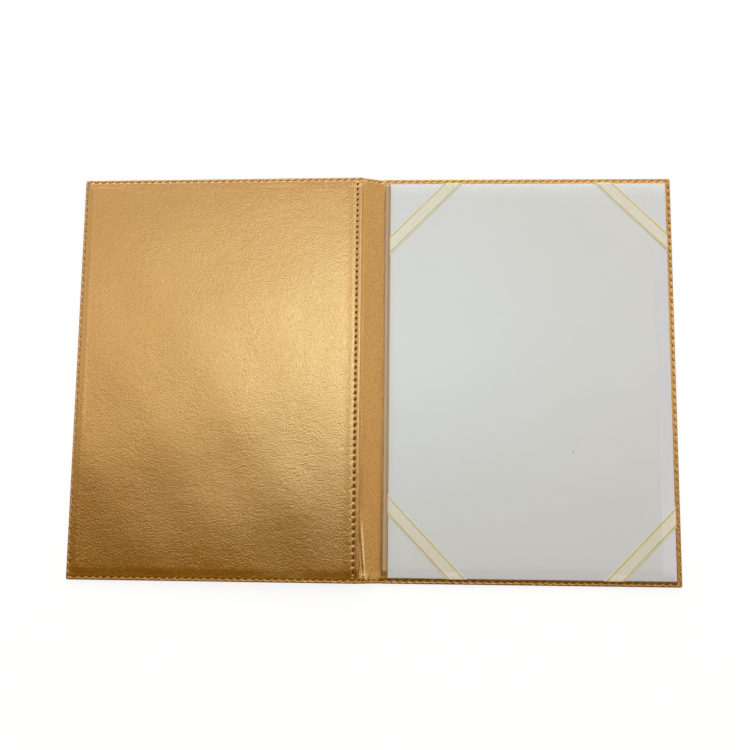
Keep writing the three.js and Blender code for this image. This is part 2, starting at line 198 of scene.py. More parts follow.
@dataclass
class Draft:
    """A mesh in the making: flat points in mm, faces, and the material number of each face."""

    points: list[tuple[float, float, float]] = field(default_factory=list)
    faces: list[tuple[int, ...]] = field(default_factory=list)
    finishes: list[int] = field(default_factory=list)

    def add_point(self, x: float, y: float, z: float) -> int:
        """Adds a point and returns its number."""
        self.points.append((x, y, z))
        return len(self.points) - 1

    def add_face(self, corners: Sequence[int], finish: int = 0) -> None:
        """Adds a face by the numbers of its corners, seen from outside anticlockwise."""
        self.faces.append(tuple(corners))
        self.finishes.append(finish)

    def array(self) -> np.ndarray:
        """The points as an array."""
        return np.array(self.points, float).reshape(-1, 3)

    def to_object(
        self,
        name: str,
        materials: Sequence[bpy.types.Material],
        move: Callable[[np.ndarray], np.ndarray],
        uv: Optional[Callable[[np.ndarray], np.ndarray]] = None,
        sharp: bool = False,
    ) -> bpy.types.Object:
        """Makes the piece's object, with its place in its mesh.

        Args:
            name: the piece's name.
            materials: the finishes, in the order of their numbers.
            move: turns flat points in mm into points of the row frame in mm.
            uv: turns flat points into map coordinates, where the finish needs them.
            sharp: True leaves the faces flat shaded.

        Returns:
            The object.
        """
        flat = self.array()
        mesh = bpy.data.meshes.new(name)
        mesh.from_pydata((move(flat) * MM).tolist(), [], self.faces)
        for material in materials:
            mesh.materials.append(material)
        mesh.polygons.foreach_set("material_index", self.finishes)
        mesh.polygons.foreach_set("use_smooth", [not sharp] * len(self.faces))
        if uv is not None:
            layer = mesh.uv_layers.new(name="pattern")
            corner = np.empty(len(mesh.loops), np.int32)
            mesh.loops.foreach_get("vertex_index", corner)
            layer.data.foreach_set("uv", uv(flat)[corner].ravel())
        mesh.validate()
        mesh.update()
        made = bpy.data.objects.new(name, mesh)
        bpy.context.scene.collection.objects.link(made)
        return made


def round_corners(points: np.ndarray, side: int) -> np.ndarray:
    """Pulls a cover's two outer corners into an arc.

    Args:
        points: flat points of the cover.
        side: -1 for the left cover and 1 for the right one.

    Returns:
        The changed points.
    """
    moved = points.copy()
    radius = CORNER_RADIUS
    u = points[:, 0] * side - (OUTER_EDGE - radius)
    v = np.abs(points[:, 1]) - (HALF_HEIGHT - radius)
    inside = (u > 0) & (v > 0)
    pull = np.maximum(u, v)[inside] / np.hypot(u, v)[inside]
    moved[inside, 0] = side * (OUTER_EDGE - radius + u[inside] * pull)
    moved[inside, 1] = np.sign(points[inside, 1]) * (HALF_HEIGHT - radius + v[inside] * pull)
    return moved


def loft(
    draft: Draft,
    section: Callable[[float], np.ndarray],
    rows: Sequence[float],
    skip: Optional[Callable[[int, int], bool]] = None,
    finish_of: Optional[Callable[[int, int], int]] = None,
) -> np.ndarray:
    """Closed body from closed sections that stand at each row, with flat ends.

    Args:
        draft: takes the points and faces.
        section: gives the (x, z) points of the section at a y, anticlockwise seen from -Y.
        rows: the y of each section, rising.
        skip: says which cell (row, column) is left open.
        finish_of: gives the finish of a cell (row, column).

    Returns:
        Array (rows, section points) of point numbers.
    """
    sections = [section(y) for y in rows]
    count = len(sections[0])
    numbers = np.empty((len(rows), count), int)
    for i, (y, loop) in enumerate(zip(rows, sections)):
        for j, (x, z) in enumerate(loop):
            numbers[i, j] = draft.add_point(x, y, z)
    for i in range(len(rows) - 1):
        for j in range(count):
            if skip is not None and skip(i, j):
                continue
            k = (j + 1) % count
            cell = (numbers[i, j], numbers[i, k], numbers[i + 1, k], numbers[i + 1, j])
            draft.add_face(cell, finish_of(i, j) if finish_of else 0)
    draft.add_face(tuple(numbers[0, ::-1]))
    draft.add_face(tuple(numbers[-1]))
    return numbers


def tidy_mesh(made: bpy.types.Object) -> None:
    """Removes points that no face uses, turns the faces outwards and keeps hard edges hard."""
    work = bmesh.new()
    work.from_mesh(made.data)
    loose = [v for v in work.verts if not v.link_faces]
    bmesh.ops.delete(work, geom=loose, context="VERTS")
    bmesh.ops.recalc_face_normals(work, faces=work.faces)
    work.to_mesh(made.data)
    work.free()
    made.data.set_sharp_from_angle(angle=math.radians(50.0))


# Finishes of the real materials


def linear(code: str) -> tuple[float, float, float, float]:
    """An sRGB hex colour as linear red, green, blue and alpha."""
    parts = [int(code[i : i + 2], 16) / 255.0 for i in (1, 3, 5)]
    line = [p / 12.92 if p <= 0.04045 else ((p + 0.055) / 1.055) ** 2.4 for p in parts]
    return (line[0], line[1], line[2], 1.0)


WHITE = linear("#ffffff")


@dataclass
class NodeWork:
    """A node tree in the making, and the start of its nodes' type names."""

    tree: bpy.types.NodeTree
    family: str = "ShaderNode"

    def add(
        self, kind: str, inputs: dict, out: int | str = 0, **settings: object
    ) -> Optional[bpy.types.NodeSocket]:
        """Adds a node with its settings and links.

        Args:
            kind: the node's type name, short for the tree's own family and full for another.
            inputs: by socket name or number, a socket to link from or a fixed value.
            out: name or number of the output that is given back.
            settings: the node's properties by name.

        Returns:
            The output's socket, or None for a node that has no output.
        """
        node = self.tree.nodes.new(kind if "Node" in kind else self.family + kind)
        for name, value in settings.items():
            setattr(node, name, value)
        for name, value in inputs.items():
            if isinstance(value, bpy.types.NodeSocket):
                self.tree.links.new(value, node.inputs[name])
            else:
                node.inputs[name].default_value = value
        return node.outputs[out] if len(node.outputs) else None


@dataclass(frozen=True)
class Finish:
    """One real material, drawn by nodes."""

    name: str

    def shade(self, work: NodeWork) -> bpy.types.NodeSocket:
        """Adds the material's own nodes and returns its shader."""
        raise NotImplementedError

    def make(self) -> bpy.types.Material:
        """Builds the material."""
        material = bpy.data.materials.new(self.name)
        material.use_nodes = True
        material.node_tree.nodes.clear()
        work = NodeWork(material.node_tree)
        work.add("OutputMaterial", {"Surface": self.shade(work)})
        return material


@dataclass(frozen=True)
class Leatherette(Finish):
    """Metallic gold polyurethane leatherette, cast on release paper.

    A pigmented body colour lies under gold flakes, which give a broad coloured gloss, and the
    clear top coat adds a paler one. The paper's pressed grain breaks both into fine wrinkles.
    Where the sheet has been creased, a pale colour is mixed in along the crest as a painted
    highlight.
    The real grain is finer than a pixel of the photograph, by guess about 0.5 mm wide: it is drawn
    about twice as coarse, so that it shows.
    """

    body_colour: str = "#c78e13"
    pore_colour: str = "#8a560a"
    grain_mm: float = 1.05
    grain_depth_mm: float = 0.115
    roughness: float = 0.13
    uneven_roughness: float = 0.03
    metallic: float = 0.575
    coat_roughness: float = 0.13
    coat_ior: float = 1.96
    coat_weight: float = 0.88
    seed: float = 0.0
    pore_share: float = 0.35
    crease_highlight_colour: str = ""

    def shade(self, work: NodeWork) -> bpy.types.NodeSocket:
        """Grain from fine pebbles on wrinkles, over a slight swell of the sheet."""
        place = work.add("TexCoord", {}, "Object")
        where = work.add(
            "Mapping", {"Vector": place, "Location": (self.seed, self.seed * 0.7, 0.0)}
        )
        pebbles, wrinkles, swell, patches = (
            work.add("TexNoise", {"Vector": where, "Scale": scale, "Detail": detail, **more})
            for scale, detail, more in (
                (1000.0 / self.grain_mm, 2.0, {"Roughness": 0.5}),
                (300.0, 2.0, {"Roughness": 0.6, "Distortion": 0.15}),
                (60.0, 2.0, {}),
                (20.0, 3.0, {}),
            )
        )
        relief = pebbles
        for layer, share in ((wrinkles, 0.4), (swell, 0.9)):
            relief = work.add("Math", {0: layer, 1: share, 2: relief}, operation="MULTIPLY_ADD")
        ranges = {"From Min": 0.3, "From Max": 0.7, "To Min": self.pore_share, "To Max": 0.0}
        colour = work.add(
            "Mix",
            {
                "Factor": work.add("MapRange", {"Value": pebbles, **ranges}),
                6: linear(self.body_colour),
                7: linear(self.pore_colour),
            },
            2,
            data_type="RGBA",
        )
        # Painted highlight: a pale colour mixed in along the crease's crest, by the 'crease'
        # attribute.
        if self.crease_highlight_colour:
            highlight_factor = work.add("Attribute", {}, "Fac", attribute_name="crease")
            inputs = {"Factor": highlight_factor, 6: colour, 7: linear(self.crease_highlight_colour)}
            colour = work.add("Mix", inputs, 2, data_type="RGBA")
        tone = work.add("MapRange", {"Value": patches, "To Min": 0.95, "To Max": 1.05})
        bump = work.add(
            "Bump", {"Height": relief, "Strength": 1.0, "Distance": self.grain_depth_mm * MM}
        )
        gloss = work.add(
            "MapRange",
            {
                "Value": wrinkles,
                "To Min": self.roughness - self.uneven_roughness,
                "To Max": self.roughness + self.uneven_roughness,
            },
        )
        return work.add(
            "BsdfPrincipled",
            {
                "Base Color": work.add("HueSaturation", {"Color": colour, "Value": tone}),
                "Metallic": self.metallic,
                "Roughness": gloss,
                "Coat Weight": self.coat_weight,
                "Coat Roughness": self.coat_roughness,
                "Coat IOR": self.coat_ior,
                "Normal": bump,
                "Coat Normal": bump,
            },
        )


@dataclass(frozen=True)
class Paperboard(Finish):
    """Pressed paper: grey chipboard or smooth white card, matt with a faint mottle."""

    colour: str
    second: str
    fibre_mm: float = 2.0
    roughness: float = 0.8

    def shade(self, work: NodeWork) -> bpy.types.NodeSocket:
        """Fine fibres in soft clouds."""
        place = work.add("TexCoord", {}, "Object")
        fibres, clouds = (
            work.add("TexNoise", {"Vector": place, "Scale": scale, "Detail": detail})
            for scale, detail in ((1000.0 / self.fibre_mm, 4.0), (14.0, 2.0))
        )
        share = work.add("Math", {0: fibres, 1: clouds}, operation="MULTIPLY")
        inputs = {"Factor": share, 6: linear(self.colour), 7: linear(self.second)}
        return work.add(
            "BsdfPrincipled",
            {
                "Base Color": work.add("Mix", inputs, 2, data_type="RGBA"),
                "Roughness": self.roughness,
                "Normal": work.add(
                    "Bump", {"Height": fibres, "Strength": 0.3, "Distance": 0.02 * MM}
                ),
            },
        )


@dataclass(frozen=True)
class SatinRibbon(Finish):
    """Woven cream satin with a metallised gold yarn beside each edge.

    The map runs in mm, along the ribbon in u and across it in v, so that the yarns follow it.
    """

    width: float
    gold_inset: float = 0.95
    gold_width: float = 0.75
    soft_edge: float = 0.12
    cloth: str = "#f6f2de"
    edge: str = "#faf4c8"
    gold: str = "#ecd058"
    gold_shade: str = "#c2a03c"

    def shade(self, work: NodeWork) -> bpy.types.NodeSocket:
        """Warp yarns, streaks and the two gold lines."""
        uv = work.add("UVMap", {}, "UV", uv_map="pattern")
        across = work.add("SeparateXYZ", {0: uv}, "Y")
        distance = work.add("Math", {0: across}, operation="ABSOLUTE")
        from_line = work.add(
            "Math", {0: distance, 1: self.width / 2 - self.gold_inset}, operation="SUBTRACT"
        )
        is_gold = work.add(
            "MapRange",
            {
                "Value": work.add("Math", {0: from_line}, operation="ABSOLUTE"),
                "From Min": self.gold_width / 2 - self.soft_edge,
                "From Max": self.gold_width / 2 + self.soft_edge,
                "To Min": 1.0,
                "To Max": 0.0,
            },
        )
        is_edge = work.add("MapRange", {"Value": from_line, "From Min": 0.0, "From Max": 0.3})
        warp_yarns, twist = (
            work.add(
                "TexWave",
                {"Vector": uv, **inputs},
                "Fac",
                bands_direction=direction,
                wave_profile="SIN",
            )
            for direction, inputs in (
                ("Y", {"Scale": 0.8, "Distortion": 0.6, "Detail": 1.0}),
                ("DIAGONAL", {"Scale": 0.42, "Distortion": 0.8}),
            )
        )
        streak = work.add("TexNoise", {"Vector": uv, "Scale": 0.35, "Detail": 3.0})
        cloth, gold = (
            work.add(
                "Mix",
                {"Factor": share, 6: linear(first), 7: linear(second)},
                2,
                data_type="RGBA",
            )
            for share, first, second in (
                (is_edge, self.cloth, self.edge),
                (twist, self.gold_shade, self.gold),
            )
        )
        colour = work.add("Mix", {"Factor": is_gold, 6: cloth, 7: gold}, 2, data_type="RGBA")
        tone = work.add("MapRange", {"Value": streak, "To Min": 0.88, "To Max": 1.1})
        relief = work.add("Math", {0: is_gold, 1: 1.0, 2: warp_yarns}, operation="MULTIPLY_ADD")
        return work.add(
            "BsdfPrincipled",
            {
                "Base Color": work.add("HueSaturation", {"Color": colour, "Value": tone}),
                "Metallic": 0.0,
                "Roughness": 0.42,
                "Sheen Weight": 0.25,
                "Normal": work.add(
                    "Bump", {"Height": relief, "Strength": 0.5, "Distance": 0.03 * MM}
                ),
            },
        )


@dataclass(frozen=True)
class ClearFilm(Finish):
    """Clear soft vinyl film: nearly all light passes, with a glossy, slightly wavy reflection."""

    tint: str = "#f4f4ef"
    haze: float = 0.03
    gloss: float = 0.04

    def shade(self, work: NodeWork) -> bpy.types.NodeSocket:
        """Clear film with a little milk in it and a gloss on it."""
        place = work.add("TexCoord", {}, "Object")
        waves = work.add("TexNoise", {"Vector": place, "Scale": 22.0, "Detail": 2.0})
        bump = work.add("Bump", {"Height": waves, "Strength": 0.6, "Distance": 0.6 * MM})
        clear = work.add("BsdfTransparent", {"Color": linear("#fefefd")})
        milk = work.add("BsdfDiffuse", {"Color": linear(self.tint)})
        gloss = work.add(
            "BsdfGlossy", {"Color": WHITE, "Roughness": 0.25, "Normal": bump}
        )
        body = work.add("MixShader", {"Fac": self.haze, 1: clear, 2: milk})
        return work.add("MixShader", {"Fac": self.gloss, 1: body, 2: gloss})


@dataclass(frozen=True)
class SewingThread(Finish):
    """Twisted polyester thread: small plies along the stitch, painted lighter and darker as painted
    highlight and shade.
    """

    colour: str
    second: str
    roughness: float = 0.4
    ply_mm: float = 0.5

    def shade(self, work: NodeWork) -> bpy.types.NodeSocket:
        """Slanted plies, painted with highlight and shade."""
        place = work.add("TexCoord", {}, "Object")
        scale = 314.0 / (self.ply_mm * 2.0)
        plies = work.add(
            "TexWave",
            {"Vector": place, "Scale": scale, "Distortion": 0.5},
            "Fac",
            bands_direction="DIAGONAL",
        )
        # The plies' two colours paint highlight and shade along the twist.
        inputs = {"Factor": plies, 6: linear(self.second), 7: linear(self.colour)}
        return work.add(
            "BsdfPrincipled",
            {
                "Base Color": work.add("Mix", inputs, 2, data_type="RGBA"),
                "Roughness": self.roughness,
                "Sheen Weight": 0.2,
                "Normal": work.add(
                    "Bump", {"Height": plies, "Strength": 0.6, "Distance": 0.05 * MM}
                ),
            },
        )


@dataclass(frozen=True)
class Finishes:
    """All finishes of the holder."""

    inner: bpy.types.Material
    spine: bpy.types.Material
    outer: bpy.types.Material
    shade_in_holes: bpy.types.Material
    greyboard: bpy.types.Material
    card: bpy.types.Material
    ribbon: bpy.types.Material
    film: bpy.types.Material
    film_fold: bpy.types.Material
    thread: bpy.types.Material
    fine_thread: bpy.types.Material
    dust: bpy.types.Material


def make_finishes(ribbon_width: float) -> Finishes:
    """Builds every finish once."""
    kinds = {
        "inner": Leatherette("metallic_gold_leatherette"),
        # A lit copy of the panels' leatherette: its body colour is painted brighter as painted
        # light, and its pale crease colour is a painted highlight.
        "spine": Leatherette(
            "metallic_gold_leatherette_strip",
            "#d89d1e",
            "#84530a",
            grain_depth_mm=0.16,
            coat_weight=0.66,
            seed=0.4,
            pore_share=0.7,
            crease_highlight_colour="#ffdb98",
        ),
        "outer": Leatherette(
            "metallic_gold_leatherette_outside", "#b88810", "#835208", grain_mm=2.2, seed=1.7
        ),
        # Dark brown painted shade, for the insides of the needle holes and for the needle pricks.
        "shade_in_holes": Paperboard("painted_shade_in_needle_holes", "#59330f", "#351c08", 0.4),
        "greyboard": Paperboard("grey_chipboard", "#969087", "#6f695f", 0.8, 0.95),
        "card": Paperboard("coated_white_card", "#eef1f3", "#e7eaed", 3.0, 0.6),
        "ribbon": SatinRibbon("cream_satin_ribbon", ribbon_width),
        "film": ClearFilm("clear_vinyl_film"),
        "film_fold": ClearFilm("clear_vinyl_film_fold", "#f0d4aa", 0.5),
        # Each thread's second colour is the painted shade between its plies.
        "thread": SewingThread("gold_polyester_thread", "#e0aa58", "#b67f36"),
        "fine_thread": SewingThread("red_brown_polyester_thread", "#8f5230", "#6b3a1e", 0.6, 0.3),
        "dust": Paperboard("grey_dust", "#6a655c", "#4c4740", 0.3),
    }
    return Finishes(**{name: kind.make() for name, kind in kinds.items()})


# Stitches


@dataclass(frozen=True)
class Stitch:
    """One visible thread between two needle holes, in mm."""

    length: float
    width: float
    height: float
    slant: float
    rings: int = 6
    sides: int = 6

    def make(self, name: str) -> bpy.types.Object:
        """A bowed thread whose ends dive, as a small mesh around the origin along X."""
        draft = Draft()
        loops = []
        for i in range(self.rings + 1):
            t = i / self.rings * 2.0 - 1.0
            swell = math.sqrt(max(0.0, 1.0 - abs(t) ** 3.2)) * 0.85 + 0.15
            lift = (1.0 - t * t) * 0.55 - 0.15
            loops.append(
                [
                    draft.add_point(
                        t * self.length / 2,
                        t * self.slant / 2 + math.cos(a) * self.width / 2 * swell,
                        self.height * (lift + 0.5 * math.sin(a) * swell),
                    )
                    for a in (2 * math.pi * k / self.sides for k in range(self.sides))
                ]
            )
        for low, high in zip(loops, loops[1:]):
            for k in range(self.sides):
                m = (k + 1) % self.sides
                draft.add_face((low[k], high[k], high[m], low[m]))
        draft.add_face(loops[0])
        draft.add_face(tuple(reversed(loops[-1])))
        made = draft.to_object(name, [], lambda p: p)
        tidy_mesh(made)
        return made


class StitchLine:
    """Geometry Nodes tree that lays one stitch at each pitch along a line of edges."""

    def __init__(self) -> None:
        """Builds the tree once, with its named inputs."""
        self.tree = bpy.data.node_groups.new("stitches_along_line", "GeometryNodeTree")
        for name, kind in (
            ("Line", "Geometry"),
            ("Stitch", "Object"),
            ("Pitch", "Float"),
            ("Unevenness", "Float"),
            ("Seed", "Int"),
            ("Finish", "Material"),
        ):
            socket = "NodeSocket" + kind
            self.tree.interface.new_socket(name, in_out="INPUT", socket_type=socket)
        self.tree.interface.new_socket(
            "Stitches", in_out="OUTPUT", socket_type="NodeSocketGeometry"
        )
        given = self.tree.nodes.new("NodeGroupInput").outputs
        work = NodeWork(self.tree, "GeometryNode")
        path = work.add("MeshToCurve", {0: given["Line"]})
        spaced = work.add("ResampleCurve", {"Curve": path, "Length": given["Pitch"]}, mode="LENGTH")
        has_pitch = work.add(
            "FunctionNodeCompare",
            {0: given["Pitch"], 1: 0.0},
            data_type="FLOAT",
            operation="GREATER_THAN",
        )
        places = work.add(
            "Switch", {"Switch": has_pitch, "False": path, "True": spaced}, input_type="GEOMETRY"
        )
        aim = work.add(
            "FunctionNodeAlignRotationToVector",
            {"Vector": work.add("InputTangent", {})},
            axis="X",
            pivot_axis="Z",
        )
        least, most = (
            work.add("ShaderNodeMath", {0: 1.0, 1: given["Unevenness"]}, operation=operation)
            for operation in ("SUBTRACT", "ADD")
        )
        size = work.add(
            "FunctionNodeRandomValue",
            {2: least, 3: most, "Seed": given["Seed"]},
            1,
            data_type="FLOAT",
        )
        laid = work.add(
            "InstanceOnPoints",
            {
                "Points": places,
                "Instance": work.add("ObjectInfo", {"Object": given["Stitch"]}, "Geometry"),
                "Rotation": aim,
                "Scale": size,
            },
        )
        solid = work.add("RealizeInstances", {0: laid})
        dressed = work.add("SetMaterial", {"Geometry": solid, "Material": given["Finish"]})
        work.add("NodeGroupOutput", {0: dressed})

    def sew(
        self,
        name: str,
        lines: Sequence[Sequence[tuple[float, float, float]]],
        stitch: Stitch,
        pitch: float,
        material: bpy.types.Material,
        move: Callable[[np.ndarray], np.ndarray],
        uneven: float = 0.05,
        seed: int = 3,
    ) -> bpy.types.Object:
        """Stitches along lines of the flat pattern, set on the body as one plain mesh.

        Args:
            name: the piece's name.
            lines: each line's points in mm.
            stitch: the thread that is repeated.
            pitch: the distance between stitches in mm, or 0 for one at each point of a line.
            material: the thread's finish.
            move: turns flat points in mm into points of the row frame in mm.
            uneven: how much the stitches differ in size.
            seed: fixes the differences.

        Returns:
            The object.
        """
        draft = Draft()
        edges = []
        for line in lines:
            numbers = [draft.add_point(*p) for p in line]
            edges += list(zip(numbers, numbers[1:]))
        mesh = bpy.data.meshes.new(name + "_line")
        mesh.from_pydata(draft.points, edges, [])
        made = bpy.data.objects.new(name, mesh)
        bpy.context.scene.collection.objects.link(made)
        sample = stitch.make(name + "_sample")
        sample.data.transform(Matrix.Scale(1 / MM, 4))
        given = {
            "Stitch": sample,
            "Pitch": pitch,
            "Unevenness": uneven,
            "Seed": seed,
            "Finish": material,
        }
        modifier = made.modifiers.new("stitches", "NODES")
        modifier.node_group = self.tree
        for item in self.tree.interface.items_tree:
            if item.in_out == "INPUT" and item.name in given:
                modifier[item.identifier] = given[item.name]
        graph = bpy.context.evaluated_depsgraph_get()
        plain = bpy.data.meshes.new_from_object(made.evaluated_get(graph))
        made.modifiers.remove(modifier)
        made.data = plain
        plain.name = name
        bpy.data.objects.remove(sample)
        flat = np.empty(len(plain.vertices) * 3)
        plain.vertices.foreach_get("co", flat)
        placed = move(flat.reshape(-1, 3)) * MM
        plain.vertices.foreach_set("co", placed.ravel())
        plain.polygons.foreach_set("use_smooth", [True] * len(plain.polygons))
        plain.update()
        return made


# Sub-assemblies


def register(
    made: bpy.types.Object, body: Optional[Body], slot: Optional[Slot], *replaced: str
) -> None:
    """Sets a finished piece on its body, hides the frame's parts that it stands for, and logs it.

    Args:
        made: the piece.
        body: the body that it rides on, or None for a sheet that bends over a fold line.
        slot: its material slot, or None for a piece without one; not used.
        replaced: the frame's nodes that it stands for.
    """
    if body is not None:
        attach(made, body.value)
    if replaced:
        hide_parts(*replaced)
    log.info("%s: %d faces", made.name, len(made.data.polygons))


def steps(points: Sequence[float], pitch: float) -> list[float]:
    """Rising places through all given points, with none further apart than pitch."""
    found = [points[0]]
    for low, high in zip(points, points[1:]):
        count = max(1, math.ceil((high - low) / pitch - 1e-6))
        found += [low + (high - low) * i / count for i in range(1, count + 1)]
    return found


@dataclass
class Rim:
    """The flat rim round a cover, where the sheets are glued and sewn together, in mm."""

    top: float = 4.15
    slope_start: float = 3.4
    slope_end: float = 9.6
    edge_drop: float = 0.9
    edge_reach: float = 0.4
    groove_width: float = 0.8
    groove_depth: float = 0.3

    def rise(self, inset: np.ndarray) -> np.ndarray:
        """Share of the raised height at a distance from the cover's edge."""
        return smooth(inset, self.slope_start, self.slope_end)

    def groove(self, inset: np.ndarray) -> np.ndarray:
        """Depth of the sewn groove at a distance from the cover's edge."""
        return self.groove_depth * bump_curve(inset, RIM_SEAM_INSET, self.groove_width)

    def edge(self, inset: np.ndarray) -> np.ndarray:
        """Drop of the upper face where the sheet turns over the cover's edge."""
        return self.edge_drop * np.exp(-np.asarray(inset) / self.edge_reach)

    def places(self) -> list[float]:
        """Distances from the edge at which the rim's mesh has lines."""
        return [0.0, 0.15, 0.35, 0.6, 0.9, 1.3, 1.7, 2.1, 2.5, 2.9, 3.4, 4.2, 5.2, 6.4, 7.7, 9.6]

    def rows(self, pitch: float, *between: float) -> list[float]:
        """The y of every line across a cover, through given places and no further than pitch."""
        edge = [HALF_HEIGHT - d for d in self.places()]
        inner = steps([-edge[-1], *between, edge[-1]], pitch)
        return [-y for y in edge[:-1]] + inner + edge[:-1][::-1]


@dataclass
class PocketPanel:
    """The left cover's pocket panel with its folded hem and needle holes, in mm."""

    top: float = 4.35
    underside: float = 3.55
    hem_bottom: float = 3.15
    hem_depth: float = 7.0
    hem_swell: float = 0.35
    board_ridge: float = 0.16
    ridge_inset: float = 6.4
    top_ridge_inset: float = 7.7
    pucker: float = 0.09
    mouth: float = -STRIP_EDGE
    hole_line: float = -STRIP_EDGE - 4.0
    first_hole: float = -147.3
    first_pitch: float = 5.35
    last_pitch: float = 4.22
    hole_count: int = 63
    hole_width: float = 1.1
    hole_length: float = 1.75
    hole_lean: float = -28.0
    hole_rings: tuple[tuple[float, float, float], ...] = (
        (1.5, 0.02, 0.16),
        (1.16, -0.06, 0.1),
        (1.0, -0.3, 0.0),
        (0.9, -0.8, 0.0),
        (0.84, -1.2, 0.0),
    )
    raised_side: float = 20.0
    tile: float = 3.0
    rim: Rim = field(default_factory=Rim)

    def holes(self) -> np.ndarray:
        """The y of every needle hole: the seam was fed by hand, and its pitch shrinks upwards."""
        gaps = np.linspace(self.first_pitch, self.last_pitch, self.hole_count - 1)
        return self.first_hole + np.concatenate([[0.0], np.cumsum(gaps)])

    def tile_edges(self) -> np.ndarray:
        """The y between the holes, and half a pitch beyond the first and the last."""
        holes = self.holes()
        inner = (holes[1:] + holes[:-1]) / 2
        first = [holes[0] - self.first_pitch / 2]
        return np.concatenate([first, inner, [holes[-1] + self.last_pitch / 2]])

    def rows(self) -> list[float]:
        """The y of every line across the panel."""
        edges = self.tile_edges()
        inside = [edges[0]]
        for low, high in zip(edges, edges[1:]):
            inside += [low + (high - low) * k / 4 for k in range(1, 5)]
        insets = self.rim.places()
        low = [d - HALF_HEIGHT for d in insets if d - HALF_HEIGHT < inside[0] - 0.15]
        high = [HALF_HEIGHT - d for d in insets if HALF_HEIGHT - d > inside[-1] + 0.15]
        return low + inside + high[::-1]

    def columns(self) -> list[float]:
        """The x of every line along the panel, from the outer edge to the hem's nose."""
        outer = [-OUTER_EDGE + d for d in self.rim.places()]
        low, high = self.hole_line - self.tile / 2, self.hole_line + self.tile / 2
        inner = steps([outer[-1], -214.0, -140.0, -24.0, low], 2.6)
        tile = [low + self.tile * k / 4 for k in range(1, 5)]
        nose = [high + (self.mouth - 0.8 - high) * t for t in (0.4, 0.75, 1.0)]
        return outer + inner[1:] + tile + nose

    def height(self, x: np.ndarray, y: np.ndarray) -> np.ndarray:
        """Height of the panel's upper face."""
        inset_x = x + OUTER_EDGE
        inset_y = HALF_HEIGHT - np.abs(y)
        inset = np.minimum(inset_x, inset_y)
        rise = self.rim.rise(inset_x) * self.rim.rise(inset_y)
        z = self.rim.top + (self.top - self.rim.top) * rise
        z -= self.rim.groove(inset)
        z -= self.rim.edge(inset)
        ridge = bump_curve(inset_x, self.ridge_inset, 0.9) * smooth(inset_y, 4.0, 9.0)
        top_ridge = bump_curve(HALF_HEIGHT - y, self.top_ridge_inset, 1.2)
        z += self.board_ridge * (ridge + 0.2 * top_ridge * smooth(inset_x, 4.0, 9.0))
        waves = (
            0.10 * np.sin(x / 23.0 + 0.7) * np.sin(y / 31.0 + 1.1)
            + 0.06 * np.sin(x / 11.0 + y / 17.0)
            + 0.05 * np.sin(x / 37.0 - y / 13.0 + 2.0)
        )
        z += waves * rise * smooth(-x, 20.0, 60.0)
        hem = smooth(x, self.hole_line - 6.0, self.hole_line - 1.5)
        z += rise * hem * self.hem_swell
        z -= smooth(inset_y, 3.0, 6.0) * 0.3 * bump_curve(x, self.hole_line, 1.2)
        away = self.hole_line - x
        turn = np.interp(y + 0.9 * away, self.holes(), np.arange(self.hole_count))
        drawn = smooth(away, 0.3, 1.5) * np.exp(-np.maximum(away, 0.0) / 4.5)
        z -= self.pucker * rise * drawn * np.cos(2.0 * math.pi * turn)
        return z

    def section(self, y: float) -> np.ndarray:
        """The closed section of the panel at y."""
        xs = np.array(self.columns())
        rise = float(self.rim.rise(np.array(HALF_HEIGHT - abs(y))))
        upper = np.stack([xs, self.height(xs, np.full(len(xs), y))], axis=1)
        hem_bottom = RIM_BOTTOM + (self.hem_bottom - RIM_BOTTOM) * rise
        under = RIM_BOTTOM + (self.underside - RIM_BOTTOM) * rise
        nose_top = upper[-1, 1]
        middle = (nose_top + hem_bottom) / 2
        half = (nose_top - hem_bottom) / 2
        reach = self.mouth - xs[-1]
        nose = [
            (xs[-1] + reach * math.sin(a), middle + half * math.cos(a))
            for a in (math.radians(d) for d in (30, 60, 90, 120, 150, 180))
        ]
        root = self.mouth - self.hem_depth
        fold = [(root, hem_bottom), (root - 0.3, under)]
        slope = -OUTER_EDGE + self.rim.slope_end + 0.8
        rest = [(slope, under), (-OUTER_EDGE + self.rim.slope_start + 0.8, RIM_BOTTOM)]
        rest += [(-OUTER_EDGE, RIM_BOTTOM)]
        loop = np.concatenate([upper, np.array(nose + fold + rest)])
        return loop[::-1]

    def build(self, finishes: Finishes) -> None:
        """Makes the panel with its needle holes, whose insides take a dark painted shade."""
        draft = Draft()
        rows = self.rows()
        columns = self.columns()
        total = len(self.section(0.0))
        first = min(range(len(columns)), key=lambda j: abs(columns[j] - (self.hole_line - 1.5)))
        low_edge = float(self.tile_edges()[0])
        start = min(range(len(rows)), key=lambda i: abs(rows[i] - low_edge))

        def in_tile(i: int, j: int) -> bool:
            column = total - 1 - j
            inside = first < column <= first + 4
            return inside and start <= i < start + 4 * self.hole_count

        numbers = loft(draft, self.section, rows, skip=in_tile)
        numbers = numbers[:, ::-1]
        for k in range(self.hole_count):
            self.punch(draft, numbers, start + 4 * k, first, rows)
        made = draft.to_object(
            "pocket_panel",
            [finishes.inner, finishes.shade_in_holes],
            lambda p: LIE.left.place(round_corners(p, -1)),
        )
        tidy_mesh(made)
        register(made, Body.LEFT, Slot.INNER, "left_pocket_panel")

